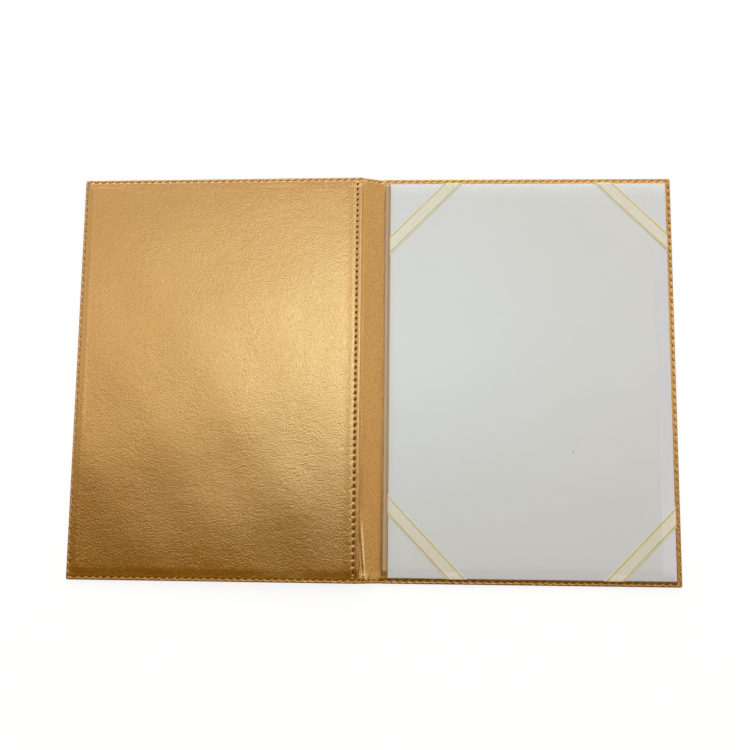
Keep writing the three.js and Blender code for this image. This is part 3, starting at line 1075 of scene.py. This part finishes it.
    def punch(
        self, draft: Draft, numbers: np.ndarray, row: int, column: int, rows: Sequence[float]
    ) -> None:
        """Fills one tile of the hem with rings that lead into a needle hole.

        Each ring has its size as a share of the hole's, its height and its pucker on one side.
        """
        x = self.hole_line
        y = rows[row + 2]
        block = numbers[row : row + 5, column : column + 5]
        sides = (block[0, :-1], block[:-1, -1], block[-1, :0:-1], block[:0:-1, 0])
        border = np.concatenate(sides).tolist()
        lean = math.radians(self.hole_lean)
        around = []
        for number in border:
            px, py, _ = draft.points[number]
            around.append(math.atan2(py - y, px - x))
        level = float(self.height(np.array([x]), np.array([y]))[0])
        before = border
        for step, (grow, depth, pucker) in enumerate(self.hole_rings):
            ring = []
            for angle in around:
                local = angle - lean
                u = math.cos(local) * self.hole_width / 2 * grow
                v = math.sin(local) * self.hole_length / 2 * grow
                px = x + u * math.cos(lean) - v * math.sin(lean)
                py = y + u * math.sin(lean) + v * math.cos(lean)
                swell = pucker * max(0.0, -math.cos(angle - math.radians(self.raised_side)))
                ring.append(draft.add_point(px, py, level + depth + swell))
            for k in range(len(ring)):
                m = (k + 1) % len(ring)
                # From the third ring inwards, and on the hole's floor, the dark finish paints the
                # shade inside the hole.
                draft.add_face((before[k], before[m], ring[m], ring[k]), int(step >= 2))
            before = ring
        draft.add_face(before, 1)


@dataclass
class RightLining:
    """The right cover's lining over its board, in mm."""

    top: float = 3.8
    rim: Rim = field(default_factory=lambda: Rim(top=3.75))

    def columns(self) -> list[float]:
        """The x of every line along the lining."""
        outer = [OUTER_EDGE - d for d in self.rim.places()][::-1]
        inner = steps([STRIP_EDGE + 0.8, outer[0]], 5.0)
        return [STRIP_EDGE + 0.1, STRIP_EDGE + 0.35] + inner[:-1] + outer

    def section(self, y: float) -> np.ndarray:
        """The closed section of the lining at y."""
        xs = np.array(self.columns())
        inset_x = OUTER_EDGE - xs
        inset_y = np.full(len(xs), HALF_HEIGHT - abs(y))
        inset = np.minimum(inset_x, inset_y)
        rise = self.rim.rise(inset_x) * self.rim.rise(inset_y)
        z = self.rim.top + (self.top - self.rim.top) * rise - self.rim.groove(inset)
        z -= self.rim.edge(inset)
        z -= 0.5 * rise * np.exp(-(xs - STRIP_EDGE - 0.1) / 0.3)
        upper = np.stack([xs, z], axis=1)
        lift = float(self.rim.rise(np.array(HALF_HEIGHT - abs(y))))
        under = RIM_BOTTOM + (self.top - 0.8 - RIM_BOTTOM) * lift
        lower = [
            (OUTER_EDGE, RIM_BOTTOM),
            (OUTER_EDGE - self.rim.slope_start - 0.8, RIM_BOTTOM),
            (OUTER_EDGE - self.rim.slope_end - 0.8, under),
            (STRIP_EDGE + 0.8, under),
            (STRIP_EDGE + 0.8, RIM_BOTTOM),
            (STRIP_EDGE, RIM_BOTTOM),
        ]
        return np.concatenate([upper, np.array(lower)])[::-1]

    def build(self, finishes: Finishes) -> None:
        """Makes the lining."""
        draft = Draft()
        loft(draft, self.section, self.rim.rows(4.0))
        made = draft.to_object(
            "right_cover_lining",
            [finishes.inner],
            lambda p: LIE.right.place(round_corners(p, 1)),
        )
        tidy_mesh(made)
        register(made, Body.RIGHT, Slot.INNER, "right_lining")


@dataclass
class OuterSkin:
    """The outer sheet over both covers and the spine, made in two halves, in mm."""

    rim: Rim = field(default_factory=Rim)
    thread_groove: float = 0.5

    def columns(self, side: int) -> list[float]:
        """The x of every line of one half, rising."""
        edge = [OUTER_EDGE - d for d in self.rim.places()]
        bend = steps([3.5, 12.0], 0.5)
        inner = steps([12.0, 40.0, edge[-1]], 6.0)
        half = [0.0, 1.5, 3.0] + bend + inner[1:] + edge[:-1][::-1]
        return half if side > 0 else [-x for x in half[::-1]]

    def section(self, side: int, y: float) -> np.ndarray:
        """The closed section of one half at y: the upper face above the lower one."""
        xs = np.array(self.columns(side))
        inset = np.minimum(OUTER_EDGE - np.abs(xs), HALF_HEIGHT - abs(y))
        low = self.thread_groove * bump_curve(inset, RIM_SEAM_INSET, self.rim.groove_width)
        low += 0.25 * np.exp(-inset / 0.25)
        upper = np.stack([xs, np.full(len(xs), SKIN_TOP)], axis=1)
        lower = np.stack([xs, low], axis=1)
        return np.concatenate([lower, upper[::-1]])

    def build(self, finishes: Finishes) -> None:
        """Makes both halves, which meet on the middle of the spine."""
        for side, name, pair, replaced in (
            (
                -1,
                "outer_skin_left_half",
                (Body.LEFT, Body.SPINE),
                ["left_outer_skin", "spine_outer_skin"],
            ),
            (1, "outer_skin_right_half", (Body.SPINE, Body.RIGHT), ["right_outer_skin"]),
        ):
            draft = Draft()
            loft(draft, lambda y, s=side: self.section(s, y), self.rim.rows(5.0))
            half = draft.to_object(
                name, [finishes.outer], lambda p, s=side: LIE.bend(round_corners(p, s))
            )
            tidy_mesh(half)
            blend_over_fold(half, side, pair)
            register(half, None, Slot.OUTER, *replaced)


def blend_over_fold(made: bpy.types.Object, side: int, pair: tuple[Body, Body]) -> None:
    """Bakes a sheet's place into its mesh; the ends of its soft crease at one fold line are worked
    out but not used.
    """
    reach = LIE.bend_reach + 0.6
    first, second = pair
    start = LIE.point(first, side * FOLD_LINE - reach, 0.0, SKIN_TOP)
    end = LIE.point(second, side * FOLD_LINE + reach, 0.0, SKIN_TOP)
    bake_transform(made)


@dataclass
class SpineLining:
    """The soft strip over the spine, pressed down by long use, in mm."""

    left_end: float = -STRIP_EDGE - 0.2
    right_end: float = STRIP_EDGE - 0.05
    left_up: float = 1.5
    right_up: float = 1.7
    rim_top: float = 2.0
    rim: Rim = field(default_factory=Rim)

    def columns(self, side: int) -> list[float]:
        """The x of every line of one half, rising."""
        ends = (self.left_end + 0.6, 0.0) if side < 0 else (0.0, self.right_end - 0.6)
        return np.linspace(*ends, 29).tolist()

    def crest(self, y: float) -> float:
        """The x of the crest of the long crease at the strip's lower end."""
        return float(np.interp(-y, [100.0, 123.6, 148.8, 155.0], [-7.7, -6.6, -4.6, -4.0]))

    def crease_highlight_share(self, flat: np.ndarray) -> np.ndarray:
        """Share of the painted highlight at each flat point, along the crest of the crease, from 0
        to 1.
        """
        crest = np.array([self.crest(y) for y in flat[:, 1]])
        along = smooth(-flat[:, 1], 106.0, 122.0) * (1.0 - smooth(-flat[:, 1], 149.0, 152.0))
        top = flat[:, 2] > RIM_BOTTOM + 0.1
        main = bump_curve(flat[:, 0], crest, 0.75) * along
        second = bump_curve(flat[:, 0], crest - 2.2 + (flat[:, 1] + 155.0) * 0.02, 0.35)
        return top * np.clip(main + 0.5 * second * along, 0.0, 1.0)

    def height(self, x: np.ndarray, y: float) -> np.ndarray:
        """Height of the strip's upper face, with its ridge and creases."""
        inset = HALF_HEIGHT - abs(y)
        inside = float(smooth(np.array(inset), 3.6, 9.0))
        z = np.full(len(x), RIM_TOP + (self.rim_top - RIM_TOP) * (1.0 - inside))
        z -= self.rim.groove(np.array(inset))
        z -= self.rim.edge(inset)
        z -= inside * 0.05 * bump_curve(x, -5.6 + 0.2 * math.sin(y / 19.0), 0.6)
        z += inside * 0.03 * np.sin(y / 8.0 + x * 0.6) * np.sin(y / 21.0)
        low = float(smooth(np.array(-y), 100.0, 125.0))
        crest = self.crest(y)
        z -= low * 0.25 * bump_curve(x, crest - 2.0, 0.5)
        z += low * 0.5 * bump_curve(x, crest, 1.1)
        fork = float(smooth(np.array(-y), 138.0, 150.0))
        z += fork * 0.35 * bump_curve(x, -2.0 + (y + 150.0) * 0.5, 0.7)
        return np.maximum(z, RIM_BOTTOM + 0.25)

    def section(self, side: int, y: float) -> np.ndarray:
        """The closed section of one half at y."""
        xs = np.array(self.columns(side))
        upper = np.stack([xs, self.height(xs, y)], axis=1)
        lower = np.stack([xs, np.full(len(xs), RIM_BOTTOM)], axis=1)
        inset = HALF_HEIGHT - abs(y)
        lift = float(self.rim.rise(np.array(inset)))
        turn = np.array([(0.25, 0.12), (0.45, 0.45), (0.55, 1.0)])
        if side < 0:
            reach = self.left_up * lift
            top = [(xs[0] - 0.5 * a, upper[0, 1] + reach * b) for a, b in turn]
            ends = np.array([(self.left_end, top[-1][1]), (self.left_end, RIM_BOTTOM)])
            loop = np.concatenate([lower, upper[::-1], np.array(top), ends])
        else:
            reach = self.right_up * lift
            top = [(xs[-1] + 0.5 * a, upper[-1, 1] + reach * b) for a, b in turn]
            ends = np.array([(self.right_end, RIM_BOTTOM), (self.right_end, top[-1][1])])
            loop = np.concatenate([lower, ends, np.array(top)[::-1], upper[::-1]])
        return loop

    def build(self, finishes: Finishes) -> None:
        """Makes both halves, which meet on the middle of the spine."""
        for side, name, pair, replaced in (
            (-1, "spine_strip_left_half", (Body.LEFT, Body.SPINE), ["spine_lining"]),
            (1, "spine_strip_right_half", (Body.SPINE, Body.RIGHT), []),
        ):
            draft = Draft()
            loft(draft, lambda y, s=side: self.section(s, y), self.rim.rows(1.5, -96.0))
            half = draft.to_object(name, [finishes.spine], LIE.bend)
            # The 'crease' attribute holds the share of the painted highlight along the crest.
            crease = half.data.attributes.new("crease", "FLOAT", "POINT")
            crease.data.foreach_set("value", self.crease_highlight_share(draft.array()))
            tidy_mesh(half)
            blend_over_fold(half, side, pair)
            register(half, None, Slot.INNER, *replaced)


@dataclass
class CertificateCard:
    """The white card, in mm."""

    x0: float = 13.6
    x1: float = 224.7
    half_height: float = 150.7
    bottom: float = 4.2
    top: float = 5.2
    edge: float = 0.2

    def build(self, finishes: Finishes) -> None:
        """Makes the card with softly rounded cut edges."""
        draft = Draft()
        e = self.edge
        xs = [self.x0 + e] + steps([self.x0 + e, self.x1 - e], 8.0)[1:-1] + [self.x1 - e]

        def section(y: float) -> np.ndarray:
            inset = self.half_height - abs(y)
            drop = e - math.sqrt(max(0.0, e * e - max(0.0, e - inset) ** 2))
            top, low = self.top - drop, self.bottom + drop
            soft = e * 0.3
            right = [(self.x1 - soft, low + soft), (self.x1, low + e + 0.01)]
            right += [(self.x1, top - e), (self.x1 - soft, top - soft)]
            left = [(self.x0 + soft, top - soft), (self.x0, top - e)]
            left += [(self.x0, low + e + 0.01), (self.x0 + soft, low + soft)]
            upper = [(x, top) for x in reversed(xs)]
            return np.array([(x, low) for x in xs] + right + upper + left)

        near = [self.half_height - d for d in (0.0, 0.06, e)]
        rows = [-y for y in near] + steps([-near[-1], near[-1]], 10.0)[1:-1] + near[::-1]
        loft(draft, section, rows)
        made = draft.to_object("white_certificate_card", [finishes.card], LIE.right.place)
        tidy_mesh(made)
        register(made, Body.RIGHT, Slot.CARD, "certificate_card")


@dataclass
class Film:
    """The clear film, sewn down beside the spine and lying over the card, in mm."""

    start: float = 9.3
    tab_end: float = 11.1
    rise_end: float = 13.1
    end: float = 214.8
    low_y: float = -145.8
    high_y: float = 149.8
    tab_z: float = 3.85
    over_z: float = 5.65
    thickness: float = 0.09

    def middle(self, x: np.ndarray, y: float) -> np.ndarray:
        """Height of the film's underside."""
        t = smooth(x, self.tab_end, self.rise_end + 0.6)
        z = self.tab_z + (self.over_z - self.tab_z) * t
        z += 0.06 * t * (1 + np.sin(x / 29.0 + 0.4) * np.sin(y / 37.0 + 0.9))
        z += 0.15 * smooth(x, self.end - 16.0, self.end) * (0.5 + 0.5 * math.sin(y / 41.0 + 0.5))
        return z

    def build(self, finishes: Finishes) -> None:
        """Makes the film as a thin wavy sheet."""
        draft = Draft()
        xs = np.array(
            steps([self.start, self.tab_end], 0.6)
            + steps([self.tab_end, self.rise_end + 0.6], 0.3)[1:]
            + steps([self.rise_end + 0.6, self.end], 5.0)[1:]
        )

        def section(y: float) -> np.ndarray:
            low = np.stack([xs, self.middle(xs, y)], axis=1)
            high = low + np.array([0.0, self.thickness])
            return np.concatenate([low, high[::-1]])

        def finish_of(row: int, column: int) -> int:
            place = min(column, 2 * len(xs) - 2 - column)
            return int(xs[max(place, 0)] < self.rise_end)

        loft(draft, section, steps([self.low_y, self.high_y], 5.0), finish_of=finish_of)
        both = [finishes.film, finishes.film_fold]
        made = draft.to_object("clear_film", both, LIE.right.place)
        tidy_mesh(made)
        register(made, Body.RIGHT, Slot.FILM, "protective_film")


@dataclass
class CornerRibbon:
    """A satin ribbon over one corner of the card, wrapped round two of its edges, in mm."""

    node: str
    right: bool
    top: bool
    along_x: float
    along_y: float
    width: float = 10.0
    thickness: float = 0.25
    gap: float = 0.1
    turn_radius: float = 0.35
    lowest: float = 3.9
    card: CertificateCard = field(default_factory=CertificateCard)

    def wrap(self, beyond: np.ndarray, lift: np.ndarray) -> tuple[np.ndarray, np.ndarray]:
        """Where a point of the flat ribbon comes to lie once it is wrapped round a card edge.

        Args:
            beyond: distance past the card's edge in the flat ribbon, below 0 over the card.
            lift: height of the point above the ribbon's underside.

        Returns:
            The distance past the edge and the height, both after wrapping.
        """
        radius, top = self.turn_radius, self.card.top + self.gap
        drop = top - self.lowest - self.thickness - 2 * radius
        arc = math.pi / 2 * radius
        over = radius + lift
        first, second = beyond / radius, (beyond - arc - drop) / radius
        turn_z = top - radius - drop
        reached = [beyond <= end for end in (0.0, arc, arc + drop, 2 * arc + drop)]
        out = np.select(
            reached,
            [beyond, over * np.sin(first), over, over * np.cos(second)],
            2 * arc + drop - beyond,
        )
        high = np.select(
            reached,
            [
                top + lift,
                top - radius + over * np.cos(first),
                top - radius - (beyond - arc),
                turn_z - over * np.sin(second),
            ],
            turn_z - over,
        )
        return out, high

    def corner(self) -> tuple[np.ndarray, np.ndarray]:
        """Outward signs and place of the card's corner, each as x and y."""
        sign = np.array([1 if self.right else -1, 1 if self.top else -1])
        edge_x = self.card.x1 if self.right else self.card.x0
        return sign, np.array([edge_x, sign[1] * self.card.half_height])

    def settle(self, flat: np.ndarray) -> np.ndarray:
        """Wraps flat ribbon points, with height as the third value, round the card."""
        sign, edge = self.corner()
        beyond = (flat[:, :2] - edge) * sign
        (out_x, high_x), (out_y, high_y) = (self.wrap(b, flat[:, 2]) for b in beyond.T)
        height = np.where(beyond[:, 0] > beyond[:, 1], high_x, high_y)
        placed = np.stack([edge[0] + sign[0] * out_x, edge[1] + sign[1] * out_y, height], axis=1)
        return LIE.right.place(placed)

    def lines(self) -> np.ndarray:
        """Distances of the ribbon's lengthwise lines from its middle."""
        return np.linspace(-self.width / 2, self.width / 2, 9)

    def rings(self, start: np.ndarray, along: np.ndarray, edge: np.ndarray) -> list[list[float]]:
        """Places along each line of the flat ribbon, dense where it turns round the card.

        Args:
            start: where the ribbon's middle crosses the card's level edge.
            along: unit vector along the ribbon.
            edge: x of the card's upright edge and y of its level one.

        Returns:
            For each line, its places from the level edge's end to the upright edge's end.
        """
        spacing = [0.0, 0.14, 0.27, 0.41, 0.55, 0.9, 1.3, 1.8, 2.05, 2.2, 2.33, 2.47, 2.6, 4.5, 7.5]
        found = []
        for v in self.lines():
            upright, level = (edge - start - np.array([-along[1], along[0]]) * v) / along
            before = [level - d / abs(along[1]) for d in spacing[::-1]]
            after = [upright + d / abs(along[0]) for d in spacing]
            middle = [level + (upright - level) * t for t in steps([0.0, 1.0], 0.06)[1:-1]]
            found.append(before + middle + after)
        return found

    def build(self, finishes: Finishes) -> None:
        sign, edge = self.corner()
        start = edge - np.array([sign[0] * self.along_x, 0.0])
        finish = edge - np.array([0.0, sign[1] * self.along_y])
        along = (finish - start) / np.linalg.norm(finish - start)
        across = np.array([-along[1], along[0]])
        rings = self.rings(start, along, edge)
        count, length = len(rings), len(rings[0])
        draft = Draft()
        pattern = []
        numbers = np.empty((2, count, length), int)
        for layer, lift in enumerate((0.0, self.thickness)):
            for i, v in enumerate(self.lines()):
                for j, u in enumerate(rings[i]):
                    x, y = start + along * u + across * v
                    numbers[layer, i, j] = draft.add_point(x, y, lift)
                    pattern.append((u, v))
        low, high = numbers
        for i in range(count - 1):
            for j in range(length - 1):
                cell = [(i, j), (i, j + 1), (i + 1, j + 1), (i + 1, j)]
                draft.add_face([high[c] for c in cell])
                draft.add_face([low[c] for c in cell[::-1]])
        walls = [((i, j), (i, j + 1)) for j in range(length - 1) for i in (0, count - 1)]
        walls += [((i, j), (i + 1, j)) for i in range(count - 1) for j in (0, length - 1)]
        for one, two in walls:
            draft.add_face((low[one], low[two], high[two], high[one]))
        made = draft.to_object(
            self.node + "_satin",
            [finishes.ribbon],
            self.settle,
            uv=lambda _: np.array(pattern),
        )
        tidy_mesh(made)
        register(made, Body.RIGHT, Slot.RIBBON, self.node)


@dataclass
class Seams:
    """Every sewn line of the holder, in mm."""

    finishes: Finishes
    pitch: float = 5.6
    strip_pitch: float = 4.3
    film_pitch: float = 2.4
    film_seam_x: float = 9.75
    outer_z: float = 0.34
    sunk: float = 0.2
    rim: Rim = field(default_factory=Rim)
    rim_stitch: Stitch = Stitch(4.3, 1.25, 0.7, 1.5)
    back_stitch: Stitch = Stitch(4.2, 0.7, 0.3, 0.0)
    fine_stitch: Stitch = Stitch(1.9, 0.5, 0.3, 0.45)
    hem_stitch: Stitch = Stitch(2.9, 0.5, 0.3, 0.0)
    prick: Stitch = Stitch(0.9, 0.8, 0.2, 0.4, 4, 8)
    sewing: StitchLine = field(default_factory=StitchLine)

    def rim_line(self, side: int, z: float) -> list[tuple[float, float, float]]:
        """The sewn line round one cover, from one fold line to the other end of it."""
        outer = side * (OUTER_EDGE - RIM_SEAM_INSET)
        edge = HALF_HEIGHT - RIM_SEAM_INSET
        inner = side * (STRIP_EDGE + 2.6)
        turn, cut = side * 1.2, side * 0.3
        half = [(inner, edge), (outer - turn, edge), (outer - cut, edge - 0.3), (outer, edge - 1.2)]
        return [(x, y, z) for x, y in half] + [(x, -y, z) for x, y in half[::-1]]

    def strip_line(self, sign: int, z: float) -> list[tuple[float, float, float]]:
        """The sewn line across one end of the spine."""
        edge = sign * (HALF_HEIGHT - RIM_SEAM_INSET)
        return [(-self.strip_pitch, edge, z), (self.strip_pitch, edge, z)]

    def run(
        self,
        name: str,
        body: Body,
        slot: Optional[Slot],
        lines: Sequence[Sequence[tuple[float, float, float]]],
        stitch: Stitch,
        pitch: float,
        replaced: Sequence[str] = (),
        **how: float,
    ) -> None:
        """Sews one seam and registers it.

        Args:
            name: the piece's name.
            body: the body that it rides on.
            slot: its material slot, or None for a piece without one.
            lines: each line's points in mm.
            stitch: the thread that is repeated.
            pitch: the distance between stitches in mm, or 0 for one at each point.
            replaced: the frame's nodes that it stands for.
            how: the seam's unevenness and seed.
        """
        # Pieces without a slot, the needle pricks, take the dark painted shade of the holes.
        thread = {
            Slot.THREAD: self.finishes.thread,
            Slot.FINE_THREAD: self.finishes.fine_thread,
            None: self.finishes.shade_in_holes,
        }[slot]
        made = self.sewing.sew(name, lines, stitch, pitch, thread, LIE.of(body).place, **how)
        register(made, body, slot, *replaced)

    def pierce(self) -> None:
        """Needle holes between the rim's stitches, half a pitch from each, as small dark marks of
        painted shade.
        """
        depth = self.rim.groove_depth - 0.04
        strip_z = SpineLining().rim_top - depth
        for body, lines in (
            (Body.LEFT, [self.rim_line(-1, PocketPanel().rim.top - depth)]),
            (Body.RIGHT, [self.rim_line(1, RightLining().rim.top - depth)]),
            (Body.SPINE, [self.strip_line(sign, strip_z) for sign in (1, -1)]),
        ):
            for line in lines:
                x, y, height = line[0]
                toward = 1.0 if line[1][0] > x else -1.0
                line[0] = (x + toward * self.pitch / 2, y, height)
            name = body.value + "_needle_pricks"
            self.run(name, body, None, lines, self.prick, self.pitch, uneven=0.15, seed=11)

    def build(self) -> None:
        """Sews every line."""
        self.pierce()
        for body, side, node, top in (
            (Body.LEFT, -1, "left_rim_seam", PocketPanel().rim.top),
            (Body.RIGHT, 1, "right_rim_seam", RightLining().rim.top),
        ):
            front = [self.rim_line(side, top - self.sunk)]
            back = [self.rim_line(side, self.outer_z)]
            thread = Slot.THREAD
            self.run(node + "_stitches", body, thread, front, self.rim_stitch, self.pitch, [node])
            name = node + "_back_stitches"
            self.run(name, body, thread, back, self.back_stitch, self.pitch, seed=5)
        strip_z = SpineLining().rim_top - self.sunk
        for sign, node in ((1, "spine_top_seam"), (-1, "spine_bottom_seam")):
            for z, stitch, tail, replaced in (
                (strip_z, self.rim_stitch, "_stitches", [node]),
                (self.outer_z, self.back_stitch, "_back_stitches", []),
            ):
                self.run(
                    node + tail,
                    Body.SPINE,
                    Slot.THREAD,
                    [self.strip_line(sign, z)],
                    stitch,
                    self.strip_pitch,
                    replaced,
                    seed=9,
                )
        film, x = Film(), self.film_seam_x
        z = film.tab_z + 0.18
        self.run(
            "film_seam_stitches",
            Body.RIGHT,
            Slot.FINE_THREAD,
            [[(x, film.low_y + 1.0, z), (x, film.high_y - 1.0, z)]],
            self.fine_stitch,
            self.film_pitch,
            ["film_seam"],
            uneven=0.12,
        )
        panel = PocketPanel()
        middles = panel.tile_edges()[1:-1]
        heights = panel.height(np.full(len(middles), panel.hole_line), middles) - 0.14
        self.run(
            "pocket_hem_stitches",
            Body.LEFT,
            Slot.FINE_THREAD,
            [[(panel.hole_line, float(y), float(z)) for y, z in zip(middles, heights)]],
            self.hem_stitch,
            0.0,
            ["pocket_hem_seam"],
            uneven=0.08,
        )


@dataclass
class Dust:
    """A few specks on the film, seen as small dark dots on the card, in mm."""

    places: tuple[tuple[float, float, float], ...] = (
        (151.1, -56.6, 0.55),
        (35.4, 27.4, 0.3),
        (56.4, 11.4, 0.35),
        (49.2, -25.6, 0.3),
        (142.6, -22.9, 0.3),
        (161.7, -46.2, 0.3),
        (198.4, -111.4, 0.3),
        (145.4, -144.0, 0.3),
    )
    sides: int = 8
    unevenness: float = 0.25
    height: float = 0.12
    sunk: float = 0.01

    def build(self, finishes: Finishes) -> None:
        """Makes the specks as one mesh of flat grains."""
        draft = Draft()
        film = Film()
        for x, y, radius in self.places:
            z = float(film.middle(np.array([x]), y)[0]) + film.thickness
            ring = []
            for k in range(self.sides):
                angle = 2 * math.pi * k / self.sides
                grow = radius * (1.0 + self.unevenness * math.sin(3 * angle + x))
                ring.append(
                    draft.add_point(x + grow * math.cos(angle), y + grow * math.sin(angle), z)
                )
            high = draft.add_point(x, y, z + self.height)
            low = draft.add_point(x, y, z - self.sunk)
            for one, two in zip(ring, ring[1:] + ring[:1]):
                draft.add_face((one, two, high))
                draft.add_face((two, one, low))
        made = draft.to_object("dust_specks", [finishes.dust], LIE.right.place)
        register(made, Body.RIGHT, None)


def finish_boards(finishes: Finishes) -> None:
    """Gives the two greyboards, which keep their CAD shapes, their finish."""
    for name in ("left_board", "right_board"):
        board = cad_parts[name]
        board.data.materials.clear()
        board.data.materials.append(finishes.greyboard)


# Floor, light and camera


def shown_to_camera(
    work: NodeWork, usual: bpy.types.NodeSocket, seen: bpy.types.NodeSocket
) -> bpy.types.NodeSocket:
    """One shader for the light's rays and another for what the camera sees directly."""
    rays = work.add("LightPath", {}, "Is Camera Ray")
    return work.add("MixShader", {"Fac": rays, 1: usual, 2: seen})


@dataclass(frozen=True)
class PaleFloor(Finish):
    """Matt pale paint that the camera sees nearly white, with faint shadows."""

    paint: str = "#f2f2f2"
    seen: str = "#808080"
    glow: float = 0.86

    def shade(self, work: NodeWork) -> bpy.types.NodeSocket:
        """Paint for the light, and dimmer paint with a glow for the camera."""
        matt, faint = (
            work.add("BsdfDiffuse", {"Color": linear(code)}) for code in (self.paint, self.seen)
        )
        glow = work.add("Emission", {"Color": WHITE, "Strength": self.glow})
        return shown_to_camera(work, matt, work.add("AddShader", {0: faint, 1: glow}))


@dataclass(frozen=True)
class Glow:
    """One soft patch of light in the sky dome.

    The colour is linear, and the centre and spread are x and y of the direction to the patch.
    """

    colour: tuple[float, float, float]
    centre: tuple[float, float]
    spread: tuple[float, float]
    strength: float

    def add(self, work: NodeWork, towards: bpy.types.NodeSocket) -> bpy.types.NodeSocket:
        """Adds the patch to the world, towards the given direction, and returns its shader."""
        (x, y), (wide, high) = self.centre, self.spread
        away = work.add(
            "Mapping",
            {
                "Vector": towards,
                "Location": (-x / wide, -y / high, 0.0),
                "Scale": (1 / wide, 1 / high, 0.0),
            },
        )
        square = work.add("VectorMath", {0: away, 1: away}, "Value", operation="DOT_PRODUCT")
        fall = work.add("Math", {0: square, 1: -0.5}, operation="MULTIPLY")
        bell = work.add("Math", {0: fall}, operation="EXPONENT")
        strength = work.add("Math", {0: bell, 1: self.strength}, operation="MULTIPLY")
        return work.add("Background", {"Color": (*self.colour, 1.0), "Strength": strength})


@dataclass
class Studio:
    """Pale floor, soft light and the camera."""

    camera_place: tuple[float, float, float] = (0.03526, -0.10428, 0.75638)
    camera_turn: tuple[float, float, float] = (-7.9416, -2.5005, -0.2526)
    lens: float = 48.0
    floor_half: float = 6.0
    floor_z: float = -0.0002
    glows: tuple[Glow, ...] = (
        Glow((0.28, 0.72, 1.0), (-0.05, 0.16), (0.12, 0.06), 3.4),
        Glow((1.0, 0.8, 0.25), (-0.05, 0.16), (0.25, 0.09), 1.05),
        Glow((1.0, 1.0, 1.0), (0.7, 0.1), (0.25, 0.3), 0.2),
        Glow((1.0, 0.95, 0.8), (0.7, -0.08), (0.25, 0.12), 0.6),
        Glow((1.0, 0.22, 0.1), (0.0, -0.4), (0.8, 0.45), 0.11),
    )

    def camera(self) -> None:
        """Sets the camera at the photograph's viewpoint."""
        pitch, yaw, roll = (math.radians(a) for a in self.camera_turn)
        world_to_camera = (
            Matrix.Rotation(roll, 3, "Z")
            @ Matrix.Rotation(yaw, 3, "Y")
            @ Matrix.Rotation(pitch, 3, "X")
        )
        data = bpy.data.cameras.new("viewpoint")
        data.lens = self.lens
        data.sensor_width = 36.0
        data.clip_start = 0.01
        made = bpy.data.objects.new("viewpoint", data)
        made.matrix_world = (
            Matrix.Translation(self.camera_place) @ world_to_camera.transposed().to_4x4()
        )
        bpy.context.scene.collection.objects.link(made)
        bpy.context.scene.camera = made

    def floor(self) -> None:
        """Lays the pale floor."""
        mesh = bpy.data.meshes.new("floor")
        half, z = self.floor_half, self.floor_z
        corners = [(-half, -half, z), (half, -half, z), (half, half, z), (-half, half, z)]
        mesh.from_pydata(corners, [], [(0, 1, 2, 3)])
        mesh.materials.append(PaleFloor("pale_floor").make())
        made = bpy.data.objects.new("floor", mesh)
        bpy.context.scene.collection.objects.link(made)

    def lamp(
        self,
        name: str,
        place: tuple[float, float, float],
        size: tuple[float, float],
        power: float,
    ) -> None:
        """Adds a soft box that faces the middle of the holder."""
        data = bpy.data.lights.new(name, "AREA")
        data.shape = "RECTANGLE"
        data.size, data.size_y = size
        data.energy = power
        made = bpy.data.objects.new(name, data)
        made.location = place
        made.rotation_euler = (-Vector(place)).to_track_quat("-Z", "Y").to_euler()
        bpy.context.scene.collection.objects.link(made)

    def surroundings(self) -> None:
        """Dark wall behind the camera, pale ceiling with soft patches, white to the camera."""
        world = bpy.data.worlds.new("studio")
        bpy.context.scene.world = world
        world.use_nodes = True
        world.node_tree.nodes.clear()
        work = NodeWork(world.node_tree)
        towards = work.add("TexCoord", {}, "Generated")
        north = work.add("SeparateXYZ", {0: towards}, "Y")
        ceiling = work.add(
            "MapRange",
            {"Value": north, "From Min": 0.01, "From Max": 0.08, "To Min": 0.0, "To Max": 0.85},
            interpolation_type="SMOOTHSTEP",
        )
        light = work.add("Background", {"Color": WHITE, "Strength": ceiling})
        for glow in self.glows:
            light = work.add("AddShader", {0: light, 1: glow.add(work, towards)})
        white = work.add("Background", {"Color": WHITE, "Strength": 1.0})
        work.add("OutputWorld", {"Surface": shown_to_camera(work, light, white)})

    def build(self) -> None:
        """Sets up the whole studio."""
        self.camera()
        self.floor()
        self.lamp("back_soft_box", (0.0, 1.25, 0.9), (2.2, 1.2), 9.0)
        self.surroundings()
        bpy.context.scene.view_settings.view_transform = "Standard"


RIBBONS = (
    CornerRibbon("ribbon_top_left", False, True, 48.0, 48.48),
    CornerRibbon("ribbon_top_right", True, True, 46.56, 46.08),
    CornerRibbon("ribbon_bottom_right", True, False, 44.64, 46.08),
    CornerRibbon("ribbon_bottom_left", False, False, 50.4, 53.28),
)


def main() -> None:
    """Builds the holder piece by piece, then the studio."""
    logging.basicConfig(level=logging.INFO, format="%(message)s")
    finishes = make_finishes(RIBBONS[0].width)
    Studio().build()
    for part in (OuterSkin(), SpineLining(), PocketPanel(), RightLining()):
        part.build(finishes)
    finish_boards(finishes)
    for part in (CertificateCard(), *RIBBONS, Film()):
        part.build(finishes)
    Seams(finishes).build()
    Dust().build(finishes)
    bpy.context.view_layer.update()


if __name__ == "__main__":
    main()
